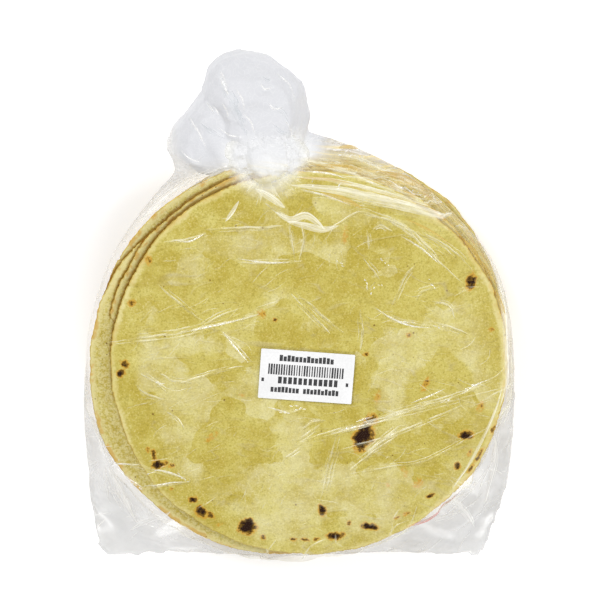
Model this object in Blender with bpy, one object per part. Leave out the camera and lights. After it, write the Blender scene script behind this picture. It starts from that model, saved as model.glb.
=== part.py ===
"""A clear bag of corn tortillas, lying on its back, with its tail knotted into a tuft.

Two pieces: the closed bag, out to the surface of its film, and the paper label on its front.
Metres, +Z up, +Y towards the knot. The origin is the centre of the flat base under the stack.
"""
import math

import bmesh
import bpy
from mathutils import Vector, noise

# The stack of tortillas inside: the second one from the top is pushed out to the left
STACK_RADIUS = 0.1015
STACK_HEIGHT = 0.0462
SECOND_OFFSET = (-0.0124, -0.0010)
SECOND_DROOP = 0.0032          # its free edge hangs this far down

# The film round the stack
BASE_RADIUS = 0.0975           # flat face that the bag lies on
TOP_RADIUS = 0.0965            # flat face under the label
FILM_TOP = 0.0470
FILM_SLACK = 0.0010            # film to stack at the upper rim
EDGE_THICKNESS = 0.0016        # the two layers of film where they meet round the outside
UNDER_EDGE_HEIGHT = 0.0012     # the film's height over the surface just outside the base

# Where the front and the back of the film meet, anticlockwise from the right-hand side: x, y, z.
# The loose corners at the bottom lie down on the surface, and the sides lift towards the neck.
FILM_EDGE = (
    (0.1085, -0.0016, 0.012),
    (0.1050, 0.0234, 0.013),
    (0.0975, 0.0464, 0.016),
    (0.0840, 0.0654, 0.018),
    (0.0600, 0.0894, 0.021),
    (0.0320, 0.1069, 0.024),
    (-0.0020, 0.1184, 0.026),
    (-0.0330, 0.1144, 0.027),
    (-0.0640, 0.1009, 0.026),
    (-0.0865, 0.0764, 0.022),
    (-0.1055, 0.0454, 0.018),
    (-0.1150, 0.0084, 0.014),
    (-0.1200, -0.0276, 0.009),
    (-0.1195, -0.0676, 0.006),
    (-0.1170, -0.1016, 0.004),
    (-0.1130, -0.1171, 0.003),
    (-0.0990, -0.1191, 0.004),
    (-0.0670, -0.1136, 0.012),
    (-0.0320, -0.1141, 0.013),
    (0.0050, -0.1141, 0.013),
    (0.0420, -0.1131, 0.013),
    (0.0720, -0.1156, 0.010),
    (0.0935, -0.1186, 0.004),
    (0.0985, -0.1106, 0.003),
    (0.1030, -0.0936, 0.006),
    (0.1085, -0.0696, 0.008),
    (0.1095, -0.0326, 0.011),
)
STATIONS_PER_EDGE_POINT = 4

# Sloping film between the stack's rim and the edge
SLOPE_STEPS = 4
NEAR_REACH = 0.006             # film that reaches no further than this past the stack runs straight
FAR_REACH = 0.050              # film that reaches this far hangs in a full hollow
STRAIGHT_SAG = 1.0
FULL_SAG = 2.1

# Gathers that run from the neck into the shoulders
NECK_ANGLE = math.radians(103)
GATHER_SPREAD = math.radians(58)
GATHER_COUNT = 27
GATHER_DEPTH = 0.0022

# The knotted tail: name, lowest and highest point, and the corners of each lobe's outline
TAIL_LOBES = (
    (
        "tail_side_lobe", 0.0036, 0.0450,
        (
            (-0.066, 0.099), (-0.070, 0.110), (-0.068, 0.119), (-0.052, 0.138), (-0.034, 0.141),
            (-0.020, 0.118), (-0.030, 0.097), (-0.052, 0.092),
        ),
    ),
    (
        "tail_upper_lobe", 0.0038, 0.0480,
        (
            (-0.052, 0.137), (-0.049, 0.150), (-0.044, 0.156), (-0.037, 0.158), (-0.022, 0.155),
            (-0.011, 0.149), (-0.004, 0.139), (-0.002, 0.126), (-0.004, 0.112), (-0.014, 0.101),
            (-0.030, 0.099), (-0.048, 0.112),
        ),
    ),
    (
        "tail_knot", 0.0140, 0.0510,
        (
            (-0.034, 0.104), (-0.032, 0.116), (-0.020, 0.122), (-0.008, 0.116), (-0.006, 0.104),
            (-0.013, 0.095), (-0.025, 0.092),
        ),
    ),
)
LOBE_LEVELS = ((0.0, 0.54), (0.20, 0.92), (0.45, 1.0), (0.75, 0.93), (1.0, 0.58))  # height, width
LOBE_SOFTENING = 1
CRUMPLE_SIZES = ((0.024, 0.0022), (0.010, 0.0010))   # across one crumple, and its depth

# The paper label
LABEL_WIDTH = 0.0480
LABEL_HEIGHT = 0.0262
LABEL_THICKNESS = 0.00025
LABEL_CENTRE = (-0.0012, -0.0044)
LABEL_TURN = math.radians(-4.2)
LABEL_CORNER = 0.0006
TOUCH_GAP = 0.0003


def clear_scene():
    for old in list(bpy.data.objects):
        bpy.data.objects.remove(old, do_unlink=True)


def new_collection(name):
    collection = bpy.data.collections.new(name)
    bpy.context.scene.collection.children.link(collection)
    return collection


def new_material(name, colour, roughness, metallic=0.0):
    material = bpy.data.materials.new(name)
    material.use_nodes = True
    shader = material.node_tree.nodes["Principled BSDF"]
    shader.inputs["Base Color"].default_value = (*colour, 1.0)
    shader.inputs["Roughness"].default_value = roughness
    shader.inputs["Metallic"].default_value = metallic
    return material


def curve_point(before, start, end, after, share):
    """A point of the smooth curve through four neighbouring points, between the middle two."""
    square = share * share
    cube = square * share
    return 0.5 * (
        2 * start
        + (end - before) * share
        + (2 * before - 5 * start + 4 * end - after) * square
        + (3 * start - before - 3 * end + after) * cube
    )


def film_edge_stations():
    points = [Vector(point) for point in FILM_EDGE]
    count = len(points)
    stations = []
    for index in range(count):
        neighbours = [points[(index + step) % count] for step in (-1, 0, 1, 2)]
        for step in range(STATIONS_PER_EDGE_POINT):
            stations.append(curve_point(*neighbours, step / STATIONS_PER_EDGE_POINT))
    return stations


def gather_height(angle, share):
    """How far the gathers lift the film at an angle round the stack, fading down the slope."""
    away = (angle - NECK_ANGLE + math.pi) % (2 * math.pi) - math.pi
    near = math.exp(-((away / GATHER_SPREAD) ** 2))
    return GATHER_DEPTH * near * math.sin(GATHER_COUNT * angle) * math.sin(math.pi * share)


def stack_rim(angle):
    """How far out the stack's upper rim reaches at an angle, and how high it is there."""
    along = SECOND_OFFSET[0] * math.cos(angle) + SECOND_OFFSET[1] * math.sin(angle)
    offset_square = SECOND_OFFSET[0] ** 2 + SECOND_OFFSET[1] ** 2
    second_reach = along + math.sqrt(STACK_RADIUS**2 - offset_square + along**2)
    radius = max(STACK_RADIUS, second_reach)
    overhang = (radius - STACK_RADIUS) / math.sqrt(offset_square)
    return radius + FILM_SLACK, STACK_HEIGHT - FILM_SLACK - SECOND_DROOP * overhang


def film_section(edge):
    """The film's section at one station, from the base up, over the edge and in to the flat top."""
    out = Vector((edge.x, edge.y, 0.0))
    reach = out.length
    angle = math.atan2(out.y, out.x)
    out.normalize()
    rim_radius, rim_height = stack_rim(angle)
    half_edge = EDGE_THICKNESS / 2
    spare = (reach - rim_radius - NEAR_REACH) / (FAR_REACH - NEAR_REACH)
    sag = STRAIGHT_SAG + (FULL_SAG - STRAIGHT_SAG) * min(max(spare, 0.0), 1.0)

    profile = [(BASE_RADIUS, 0.0)]
    for share in (0.35, 0.7):
        radius = BASE_RADIUS + (reach - BASE_RADIUS) * share
        height = UNDER_EDGE_HEIGHT + (edge.z - half_edge - UNDER_EDGE_HEIGHT) * share**2
        profile.append((radius, height))
    profile.append((reach - half_edge, edge.z - half_edge))
    profile.append((reach, edge.z))
    for step in range(1, SLOPE_STEPS + 1):
        share = step / (SLOPE_STEPS + 1)
        radius = reach + (rim_radius - reach) * share
        height = edge.z + half_edge + (rim_height - edge.z - half_edge) * share**sag
        profile.append((radius, height + gather_height(angle, share)))
    profile.append((rim_radius, rim_height))
    profile.append((TOP_RADIUS, FILM_TOP))
    return [out * radius + Vector((0.0, 0.0, height)) for radius, height in profile]


def make_pack_body(collection, material):
    """The film round the stack: a loft of sections, closed by a flat base and a flat top."""
    shape = bmesh.new()
    rows = [[shape.verts.new(point) for point in film_section(edge)] for edge in film_edge_stations()]
    for row, following in zip(rows, rows[1:] + rows[:1]):
        for level in range(len(row) - 1):
            shape.faces.new((row[level], following[level], following[level + 1], row[level + 1]))
    shape.faces.new([row[0] for row in reversed(rows)])
    shape.faces.new([row[-1] for row in rows])
    bmesh.ops.recalc_face_normals(shape, faces=shape.faces)
    mesh = bpy.data.meshes.new("bag")
    shape.to_mesh(mesh)
    shape.free()
    mesh.materials.append(material)
    body = bpy.data.objects.new("bag", mesh)
    collection.objects.link(body)
    return body


def crumple(point):
    """How far crumpled film stands out of its lobe at a point."""
    depth = 0.0
    for size, reach in CRUMPLE_SIZES:
        depth += reach * (0.9 - 2 * abs(noise.noise(point / size)))
    return depth


def make_tail_lobe(name, low, high, outline, collection, material):
    """One lobe of the knotted tail: the hull of its outline at several levels, softly crumpled."""
    shape = bmesh.new()
    middle = sum((Vector(corner) for corner in outline), Vector((0.0, 0.0))) / len(outline)
    for level, width in LOBE_LEVELS:
        for corner in outline:
            across = middle + (Vector(corner) - middle) * width
            shape.verts.new((across.x, across.y, low + (high - low) * level))
    hull = bmesh.ops.convex_hull(shape, input=shape.verts)
    inside = {item for item in hull["geom_interior"] + hull["geom_unused"]}
    bmesh.ops.delete(
        shape, geom=[item for item in inside if isinstance(item, bmesh.types.BMVert)], context="VERTS"
    )
    bmesh.ops.subdivide_edges(shape, edges=shape.edges, cuts=3, use_grid_fill=True)
    for _ in range(LOBE_SOFTENING):
        bmesh.ops.smooth_vert(
            shape, verts=shape.verts, factor=0.5, use_axis_x=True, use_axis_y=True, use_axis_z=True
        )
    shape.normal_update()
    for vertex in shape.verts:
        vertex.co += vertex.normal * crumple(vertex.co)
    mesh = bpy.data.meshes.new(name)
    shape.to_mesh(mesh)
    shape.free()
    mesh.materials.append(material)
    lobe = bpy.data.objects.new(name, mesh)
    lobe.hide_render = True
    lobe.display_type = "WIRE"
    collection.objects.link(lobe)
    return lobe


def join_to(body, shape):
    union = body.modifiers.new("join_" + shape.name, "BOOLEAN")
    union.operation = "UNION"
    union.solver = "EXACT"
    union.object = shape


def make_label(collection, material):
    """The paper label, flat on the front of the bag."""
    bpy.ops.mesh.primitive_cube_add(size=1.0)
    label = bpy.context.object
    label.name = "label"
    label.data.name = "label"
    for vertex in label.data.vertices:
        vertex.co.x *= LABEL_WIDTH
        vertex.co.y *= LABEL_HEIGHT
        vertex.co.z *= LABEL_THICKNESS
    label.location = (*LABEL_CENTRE, FILM_TOP + TOUCH_GAP + LABEL_THICKNESS / 2)
    label.rotation_euler.z = LABEL_TURN
    label.data.materials.append(material)
    round_label_corners(label)
    for holder in list(label.users_collection):
        holder.objects.unlink(label)
    collection.objects.link(label)
    return label


def round_label_corners(label):
    shape = bmesh.new()
    shape.from_mesh(label.data)
    upright = [
        edge
        for edge in shape.edges
        if abs(edge.verts[0].co.z - edge.verts[1].co.z) > LABEL_THICKNESS / 2
    ]
    bmesh.ops.bevel(
        shape, geom=upright, offset=LABEL_CORNER, segments=3, profile=0.5, affect="EDGES"
    )
    shape.to_mesh(label.data)
    shape.free()


def main():
    clear_scene()
    pieces = new_collection("bag_of_corn_tortillas")
    joined_shapes = new_collection("shapes_joined_to_the_bag")
    film = new_material("bag_film", (0.80, 0.74, 0.46), roughness=0.28)
    paper = new_material("label_paper", (0.93, 0.93, 0.93), roughness=0.55)
    bag = make_pack_body(pieces, film)
    for name, low, high, outline in TAIL_LOBES:
        join_to(bag, make_tail_lobe(name, low, high, outline, joined_shapes, film))
    make_label(pieces, paper)


main()
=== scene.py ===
"""A clear bag of corn tortillas, lying on its back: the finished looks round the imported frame.

The bag node is replaced by its contents, a pile of separate tortillas, and by the thin film round
them, which is wrinkled by a cloth simulation. The tail is gathered film, and the label is paper.
Everything is in metres, in the frame's own axes: +Z up, +Y towards the knot.
"""
import math

import bmesh
import bpy
import numpy as np
from bpy.props import FloatProperty, FloatVectorProperty, IntProperty, PointerProperty
from mathutils import Matrix, Vector, noise
from mathutils.bvhtree import BVHTree


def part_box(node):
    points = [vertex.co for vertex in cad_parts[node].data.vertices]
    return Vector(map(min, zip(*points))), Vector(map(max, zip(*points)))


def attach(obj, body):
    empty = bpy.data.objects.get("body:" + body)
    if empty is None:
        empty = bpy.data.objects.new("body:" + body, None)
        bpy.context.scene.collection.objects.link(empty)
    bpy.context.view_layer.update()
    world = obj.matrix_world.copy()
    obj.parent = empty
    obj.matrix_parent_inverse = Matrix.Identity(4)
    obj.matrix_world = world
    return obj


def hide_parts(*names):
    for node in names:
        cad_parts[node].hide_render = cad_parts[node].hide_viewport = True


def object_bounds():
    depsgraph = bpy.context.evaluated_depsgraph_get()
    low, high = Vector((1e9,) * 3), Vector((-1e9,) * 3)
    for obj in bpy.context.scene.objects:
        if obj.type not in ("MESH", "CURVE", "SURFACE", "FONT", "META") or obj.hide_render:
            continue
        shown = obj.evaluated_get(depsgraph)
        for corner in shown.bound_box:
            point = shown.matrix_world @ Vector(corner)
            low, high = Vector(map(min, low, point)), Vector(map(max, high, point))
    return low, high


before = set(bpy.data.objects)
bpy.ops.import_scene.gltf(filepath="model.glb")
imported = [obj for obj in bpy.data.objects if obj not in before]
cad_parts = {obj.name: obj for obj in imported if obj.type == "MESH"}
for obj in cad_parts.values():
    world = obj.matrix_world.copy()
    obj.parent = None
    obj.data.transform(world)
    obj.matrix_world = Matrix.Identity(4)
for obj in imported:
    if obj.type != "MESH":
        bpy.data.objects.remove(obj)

bl_info = {
    "name": "Bag of Corn Tortillas",
    "version": (1, 0, 0),
    "blender": (4, 5, 0),
    "location": "3D View > Sidebar > Tortillas",
    "description": "Builds a clear bag with a pile of corn tortillas, its knotted tail and its label",
    "category": "Object",
}

CAD_LOW, CAD_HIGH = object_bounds()
MM = 0.001

PILE_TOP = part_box("label")[0].z - 1.1 * MM      # upper face of the front tortilla
PILE_BASE = 0.3 * MM
LABEL_LOW, LABEL_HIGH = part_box("label")
TORTILLA_RADIUS = 101.6 * MM


# ---------------------------------------------------------------------------------------------
# Settings


class PileSettings(bpy.types.PropertyGroup):
    """Sizes and colours of the tortillas."""

    radius: FloatProperty(
        name="Radius", description="Half the width of one tortilla", default=TORTILLA_RADIUS, unit="LENGTH"
    )
    thickness: FloatProperty(
        name="Thickness", description="Thickness of one tortilla", default=0.00185, unit="LENGTH"
    )
    count: IntProperty(name="Count", description="Tortillas in the pile", default=23, min=6)
    pale: FloatVectorProperty(
        name="Pale dough", description="Lighter parts of the dough", subtype="COLOR",
        default=(0.62, 0.545, 0.165), min=0, max=1,
    )
    deep: FloatVectorProperty(
        name="Deep dough", description="Yellower parts of the dough", subtype="COLOR",
        default=(0.51, 0.415, 0.080), min=0, max=1,
    )
    rim: FloatVectorProperty(
        name="Rim", description="Dry outer rim of a tortilla", subtype="COLOR",
        default=(0.76, 0.68, 0.33), min=0, max=1,
    )
    side: FloatVectorProperty(
        name="Side", description="Baked outer edge of a tortilla, between its faces", subtype="COLOR",
        default=(0.68, 0.50, 0.11), min=0, max=1,
    )
    toast: FloatVectorProperty(
        name="Toasted", description="Lightly toasted patches", subtype="COLOR",
        default=(0.58, 0.31, 0.035), min=0, max=1,
    )
    char: FloatVectorProperty(
        name="Charred", description="Charred middles of the toasted marks", subtype="COLOR",
        default=(0.020, 0.006, 0.003), min=0, max=1,
    )


class FilmSettings(bpy.types.PropertyGroup):
    """The thin clear film of the bag."""

    cell: FloatProperty(
        name="Cell", description="Size of the mesh that the simulation works on",
        default=0.0028, unit="LENGTH",
    )
    spare: FloatProperty(
        name="Spare film", description="How much wider the film is than the pack, as a share",
        default=0.085, min=0, max=0.3, subtype="FACTOR",
    )
    steps: IntProperty(name="Steps", description="Simulation steps", default=20, min=1)
    veil: FloatVectorProperty(
        name="Veil", description="Colour of the film's haze over the tortillas", subtype="COLOR",
        default=(0.93, 0.90, 0.66), min=0, max=1,
    )
    shade: FloatVectorProperty(
        name="Shade", description="Colour of loose film with nothing behind it", subtype="COLOR",
        default=(0.64, 0.64, 0.635), min=0, max=1,
    )
    milky: FloatVectorProperty(
        name="Milky", description="Colour of the gathered film in the tail", subtype="COLOR",
        default=(0.64, 0.645, 0.672), min=0, max=1,
    )
    haze: FloatProperty(
        name="Haze", description="How much the film veils the tortillas", default=0.14, min=0, max=1,
        subtype="FACTOR",
    )
    body: FloatProperty(
        name="Body", description="How much one layer of loose film hides", default=0.38, min=0, max=1,
        subtype="FACTOR",
    )
    milk: FloatProperty(
        name="Milk", description="How much one layer of gathered film hides", default=0.78, min=0, max=1,
        subtype="FACTOR",
    )
    roughness: FloatProperty(
        name="Roughness", description="Roughness of smooth film", default=0.13, min=0, max=1,
        subtype="FACTOR",
    )
    gloss: FloatProperty(
        name="Gloss", description="Refraction index that sets how bright the glints are",
        default=2.0, min=1, max=4,
    )


class LabelSettings(bpy.types.PropertyGroup):
    """The paper label and its plain marks."""

    paper: FloatVectorProperty(
        name="Paper", description="Colour of the paper", subtype="COLOR",
        default=(0.90, 0.90, 0.90), min=0, max=1,
    )
    ink: FloatVectorProperty(
        name="Ink", description="Colour of the marks", subtype="COLOR",
        default=(0.012, 0.012, 0.014), min=0, max=1,
    )


class StageSettings(bpy.types.PropertyGroup):
    """Floor, lights and camera."""

    floor: FloatVectorProperty(
        name="Floor", description="Colour of the floor", subtype="COLOR",
        default=(0.93, 0.93, 0.93), min=0, max=1,
    )
    glow: FloatProperty(
        name="Glow", description="Light that the floor gives, as a light table does", default=0.26, min=0
    )
    tilt: FloatProperty(
        name="Tilt", description="How far the camera leans from straight down, towards the knot",
        default=math.radians(13.5), subtype="ANGLE",
    )
    distance: FloatProperty(
        name="Distance", description="From the camera to the bag", default=1.039, unit="LENGTH"
    )
    lens: FloatProperty(name="Lens", description="Focal length in millimetres", default=120.0)
    key_power: FloatProperty(name="Key", description="Power of the key light in watts", default=4.6)
    sky: FloatProperty(name="Sky", description="Strength of the even light all round", default=0.42)


# ---------------------------------------------------------------------------------------------
# Small tools


def add_piece(name, mesh):
    """A new object in the scene, with this mesh."""
    piece = bpy.data.objects.new(name, mesh)
    bpy.context.scene.collection.objects.link(piece)
    return piece


def new_mesh_object(name, points, faces):
    mesh = bpy.data.meshes.new(name)
    mesh.from_pydata([tuple(point) for point in points], [], faces)
    mesh.validate()
    return add_piece(name, mesh)


def piece_from_shape(name, shape):
    """A new object made of a bmesh, which is freed."""
    mesh = bpy.data.meshes.new(name)
    shape.to_mesh(mesh)
    shape.free()
    return add_piece(name, mesh)


def evaluated_mesh(piece):
    graph = bpy.context.evaluated_depsgraph_get()
    return bpy.data.meshes.new_from_object(piece.evaluated_get(graph))


def bake_modifiers(piece):
    """Replaces a piece's mesh by what its modifiers make of it, and removes them."""
    mesh = evaluated_mesh(piece)
    piece.modifiers.clear()
    piece.data = mesh
    mesh.name = piece.name


def points_of(mesh):
    flat = np.empty(len(mesh.vertices) * 3)
    mesh.vertices.foreach_get("co", flat)
    return flat.reshape(-1, 3)


def set_points(mesh, points):
    mesh.vertices.foreach_set("co", np.asarray(points, dtype=np.float64).ravel())
    mesh.update()


def store_values(mesh, name, values):
    layer = mesh.attributes.new(name, "FLOAT", "POINT")
    layer.data.foreach_set("value", np.asarray(values, dtype=np.float32))


def remove_piece(piece):
    mesh = piece.data
    bpy.data.objects.remove(piece, do_unlink=True)
    bpy.data.meshes.remove(mesh)


def make_shadowless(piece):
    """Film is far too thin to shade what is under it."""
    piece.visible_shadow = False
    piece.visible_diffuse = False


def finish_piece(piece, replaced=None):
    """Hands a finished piece to the frame: attaches it to the root body and hides the node it stands for.
    """
    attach(piece, "root")
    if replaced:
        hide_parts(replaced)


def reach_of(points):
    """How far each point is from the upright line through the pile's middle."""
    return np.hypot(points[:, 0], points[:, 1])


def turn_of(points):
    """The direction of each point from the pile's middle, anticlockwise from the right."""
    return np.arctan2(points[:, 1], points[:, 0])


def knot_distance(points):
    return np.linalg.norm(points - np.array(KNOT), axis=1)


def smooth_step(low, high, values):
    share = np.clip((np.asarray(values) - low) / (high - low), 0.0, 1.0)
    return share * share * (3 - 2 * share)


def noise_at(points, size, seed=0.0):
    """Smooth noise from -1 to 1 at each point, with features of the given size."""
    shift = Vector((seed * 17.3, seed * 5.1, seed * 9.7))
    return np.array([noise.noise(Vector(point) / size + shift) for point in points])


# ---------------------------------------------------------------------------------------------
# Material tools


def set_inputs(tree, node, values):
    """Sets a node's inputs, given by name or number, to values or links them to sockets."""
    for key, value in values.items():
        if isinstance(value, bpy.types.NodeSocket):
            tree.links.new(value, node.inputs[key])
        else:
            node.inputs[key].default_value = value


def add_node(tree, kind, values=None, **settings):
    """A node with its settings, and its inputs as set_inputs takes them."""
    node = tree.nodes.new(kind)
    for key, value in settings.items():
        setattr(node, key, value)
    set_inputs(tree, node, values or {})
    return node


def output_of(tree, kind, values=None, **settings):
    """The first output of a new node."""
    return add_node(tree, kind, values, **settings).outputs[0]


def math_node(tree, operation, first, second=0.0, third=0.0, clamp=False):
    values = {0: first, 1: second, 2: third}
    return output_of(tree, "ShaderNodeMath", values, operation=operation, use_clamp=clamp)


def plus(tree, first, second):
    return math_node(tree, "ADD", first, second)


def minus(tree, first, second):
    return math_node(tree, "SUBTRACT", first, second)


def times(tree, first, second):
    return math_node(tree, "MULTIPLY", first, second)


def times_plus(tree, first, second, added):
    return math_node(tree, "MULTIPLY_ADD", first, second, added)


def vector_node(tree, operation, first, second):
    return output_of(tree, "ShaderNodeVectorMath", {0: first, 1: second}, operation=operation)


def scaled_vector(tree, vector, size):
    return output_of(tree, "ShaderNodeVectorMath", {0: vector, "Scale": size}, operation="SCALE")


def length_node(tree, vector):
    return add_node(tree, "ShaderNodeVectorMath", {0: vector}, operation="LENGTH").outputs["Value"]


def combine_node(tree, x=0.0, y=0.0, z=0.0):
    return output_of(tree, "ShaderNodeCombineXYZ", {0: x, 1: y, 2: z})


def bump_node(tree, height, strength, distance):
    values = {"Height": height, "Strength": strength, "Distance": distance}
    return output_of(tree, "ShaderNodeBump", values)


def range_node(tree, value, low, high, out_low=0.0, out_high=1.0):
    values = {0: value, 1: low, 2: high, 3: out_low, 4: out_high}
    return output_of(tree, "ShaderNodeMapRange", values, interpolation_type="SMOOTHSTEP")


def mix_colour(tree, share, first, second, blend="MIX"):
    values = {0: share, 6: first, 7: second}
    node = add_node(tree, "ShaderNodeMix", values, data_type="RGBA", blend_type=blend)
    return node.outputs[2]


def noise_node(tree, place, scale, detail=2.0, roughness=0.5, distortion=0.0):
    values = {
        "Vector": place, "Scale": scale, "Detail": detail, "Roughness": roughness,
        "Distortion": distortion,
    }
    return add_node(tree, "ShaderNodeTexNoise", values).outputs[0]


def voronoi_node(tree, place, scale, feature="F1"):
    values = {"Vector": place, "Scale": scale}
    return add_node(tree, "ShaderNodeTexVoronoi", values, feature=feature).outputs["Distance"]


def attribute_node(tree, name):
    return add_node(tree, "ShaderNodeAttribute", attribute_name=name).outputs["Fac"]


def new_group(name, inputs, outputs):
    """A shader node group with its sockets, each given as (name, socket type, default)."""
    group = bpy.data.node_groups.new(name, "ShaderNodeTree")
    for label, kind, default in inputs:
        socket = group.interface.new_socket(label, in_out="INPUT", socket_type=kind)
        if default is not None:
            socket.default_value = default
    for label, kind in outputs:
        group.interface.new_socket(label, in_out="OUTPUT", socket_type=kind)
    source = group.nodes.new("NodeGroupInput")
    result = group.nodes.new("NodeGroupOutput")
    return group, source.outputs, result.inputs


def new_material(name):
    material = bpy.data.materials.new(name)
    material.use_nodes = True
    tree = material.node_tree
    shader = tree.nodes["Principled BSDF"]
    place = tree.nodes.new("ShaderNodeTexCoord").outputs["Object"]
    return material, tree, shader, place


def with_alpha(colour):
    return (*colour, 1.0)


FLOAT, COLOUR, VECTOR = "NodeSocketFloat", "NodeSocketColor", "NodeSocketVector"


def flat_place(tree, vector):
    """A place as seen from above, so that a pattern doesn't change with height."""
    return vector_node(tree, "MULTIPLY", vector, (1.0, 1.0, 0.0))


def bent_place(tree, place, scale, reach):
    """A place pushed about by noise, which bends the pattern that is read there."""
    push = add_node(
        tree, "ShaderNodeTexNoise", {"Vector": place, "Scale": scale, "Detail": 2.0}
    ).outputs["Color"]
    scaled_push = scaled_vector(tree, push, reach)
    return vector_node(tree, "ADD", place, scaled_push)


def cling_group():
    """Where the film clings to the front tortilla: crisp-edged patches and soft blotches, 0 to 1.

    The film and the tortilla share it, so the damp, darker patches lie under the clear film.
    """
    if kept := bpy.data.node_groups.get("film_cling"):
        return kept
    group, source, result = new_group(
        "film_cling", [("Vector", VECTOR, None), ("Loose", FLOAT, 0.0), ("Bias", FLOAT, 0.0)],
        [("Cling", FLOAT)],
    )
    flat = flat_place(group, source["Vector"])
    place = bent_place(group, flat, 45.0, 0.020)
    cells = add_node(group, "ShaderNodeTexVoronoi", {"Vector": place, "Scale": 70.0}).outputs["Color"]
    patch = output_of(group, "ShaderNodeSeparateColor", {0: cells})
    broad = noise_node(group, flat, 24.0, detail=1.0)
    blotch = noise_node(group, flat, 110.0, detail=4.0, roughness=0.65)
    total = times_plus(group, patch, 0.42, broad)
    total = times_plus(group, blotch, 0.35, total)
    total = times_plus(group, source["Bias"], 0.30, total)
    clinging = range_node(group, total, 0.80, 0.96)
    tight = minus(group, 1.0, source["Loose"])
    group.links.new(times(group, clinging, tight), result["Cling"])
    return group


# Families of fine wrinkles: turn, waves in a metre along and across, width, strength
WRINKLES = (
    (0.40, 16.0, 75.0, 0.020, 0.8), (-0.75, 24.0, 105.0, 0.026, 0.6),
    (1.45, 40.0, 190.0, 0.034, 0.55),
)


def crumple_group():
    """Fine wrinkles of clinging film, broken into short runs: 1 on a wrinkle. The film paints a highlight
    along them, and the front tortilla a shade beside them.
    """
    if kept := bpy.data.node_groups.get("film_crumple"):
        return kept
    group, source, result = new_group("film_crumple", [("Vector", VECTOR, None)], [("Line", FLOAT)])
    flat = flat_place(group, source["Vector"])
    place = bent_place(group, flat, 14.0, 0.030)
    total = 0.0
    for index, (turn, along, across, width, strength) in enumerate(WRINKLES):
        laid = output_of(
            group, "ShaderNodeMapping",
            {"Vector": place, "Rotation": (0.0, 0.0, turn), "Scale": (along, across, 1.0)},
        )
        waves = noise_node(group, laid, 1.0, detail=1.0, roughness=0.4)
        off_line = math_node(group, "ABSOLUTE", minus(group, waves, 0.5))
        line = range_node(group, off_line, width, 0.0)
        spread = noise_node(group, flat, 34.0 + 22.0 * index, detail=2.0, roughness=0.6)
        shown = range_node(group, spread, 0.50, 0.64, 0.0, strength)
        total = math_node(group, "MAXIMUM", total, times(group, line, shown))
    group.links.new(total, result["Line"])
    return group


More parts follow.
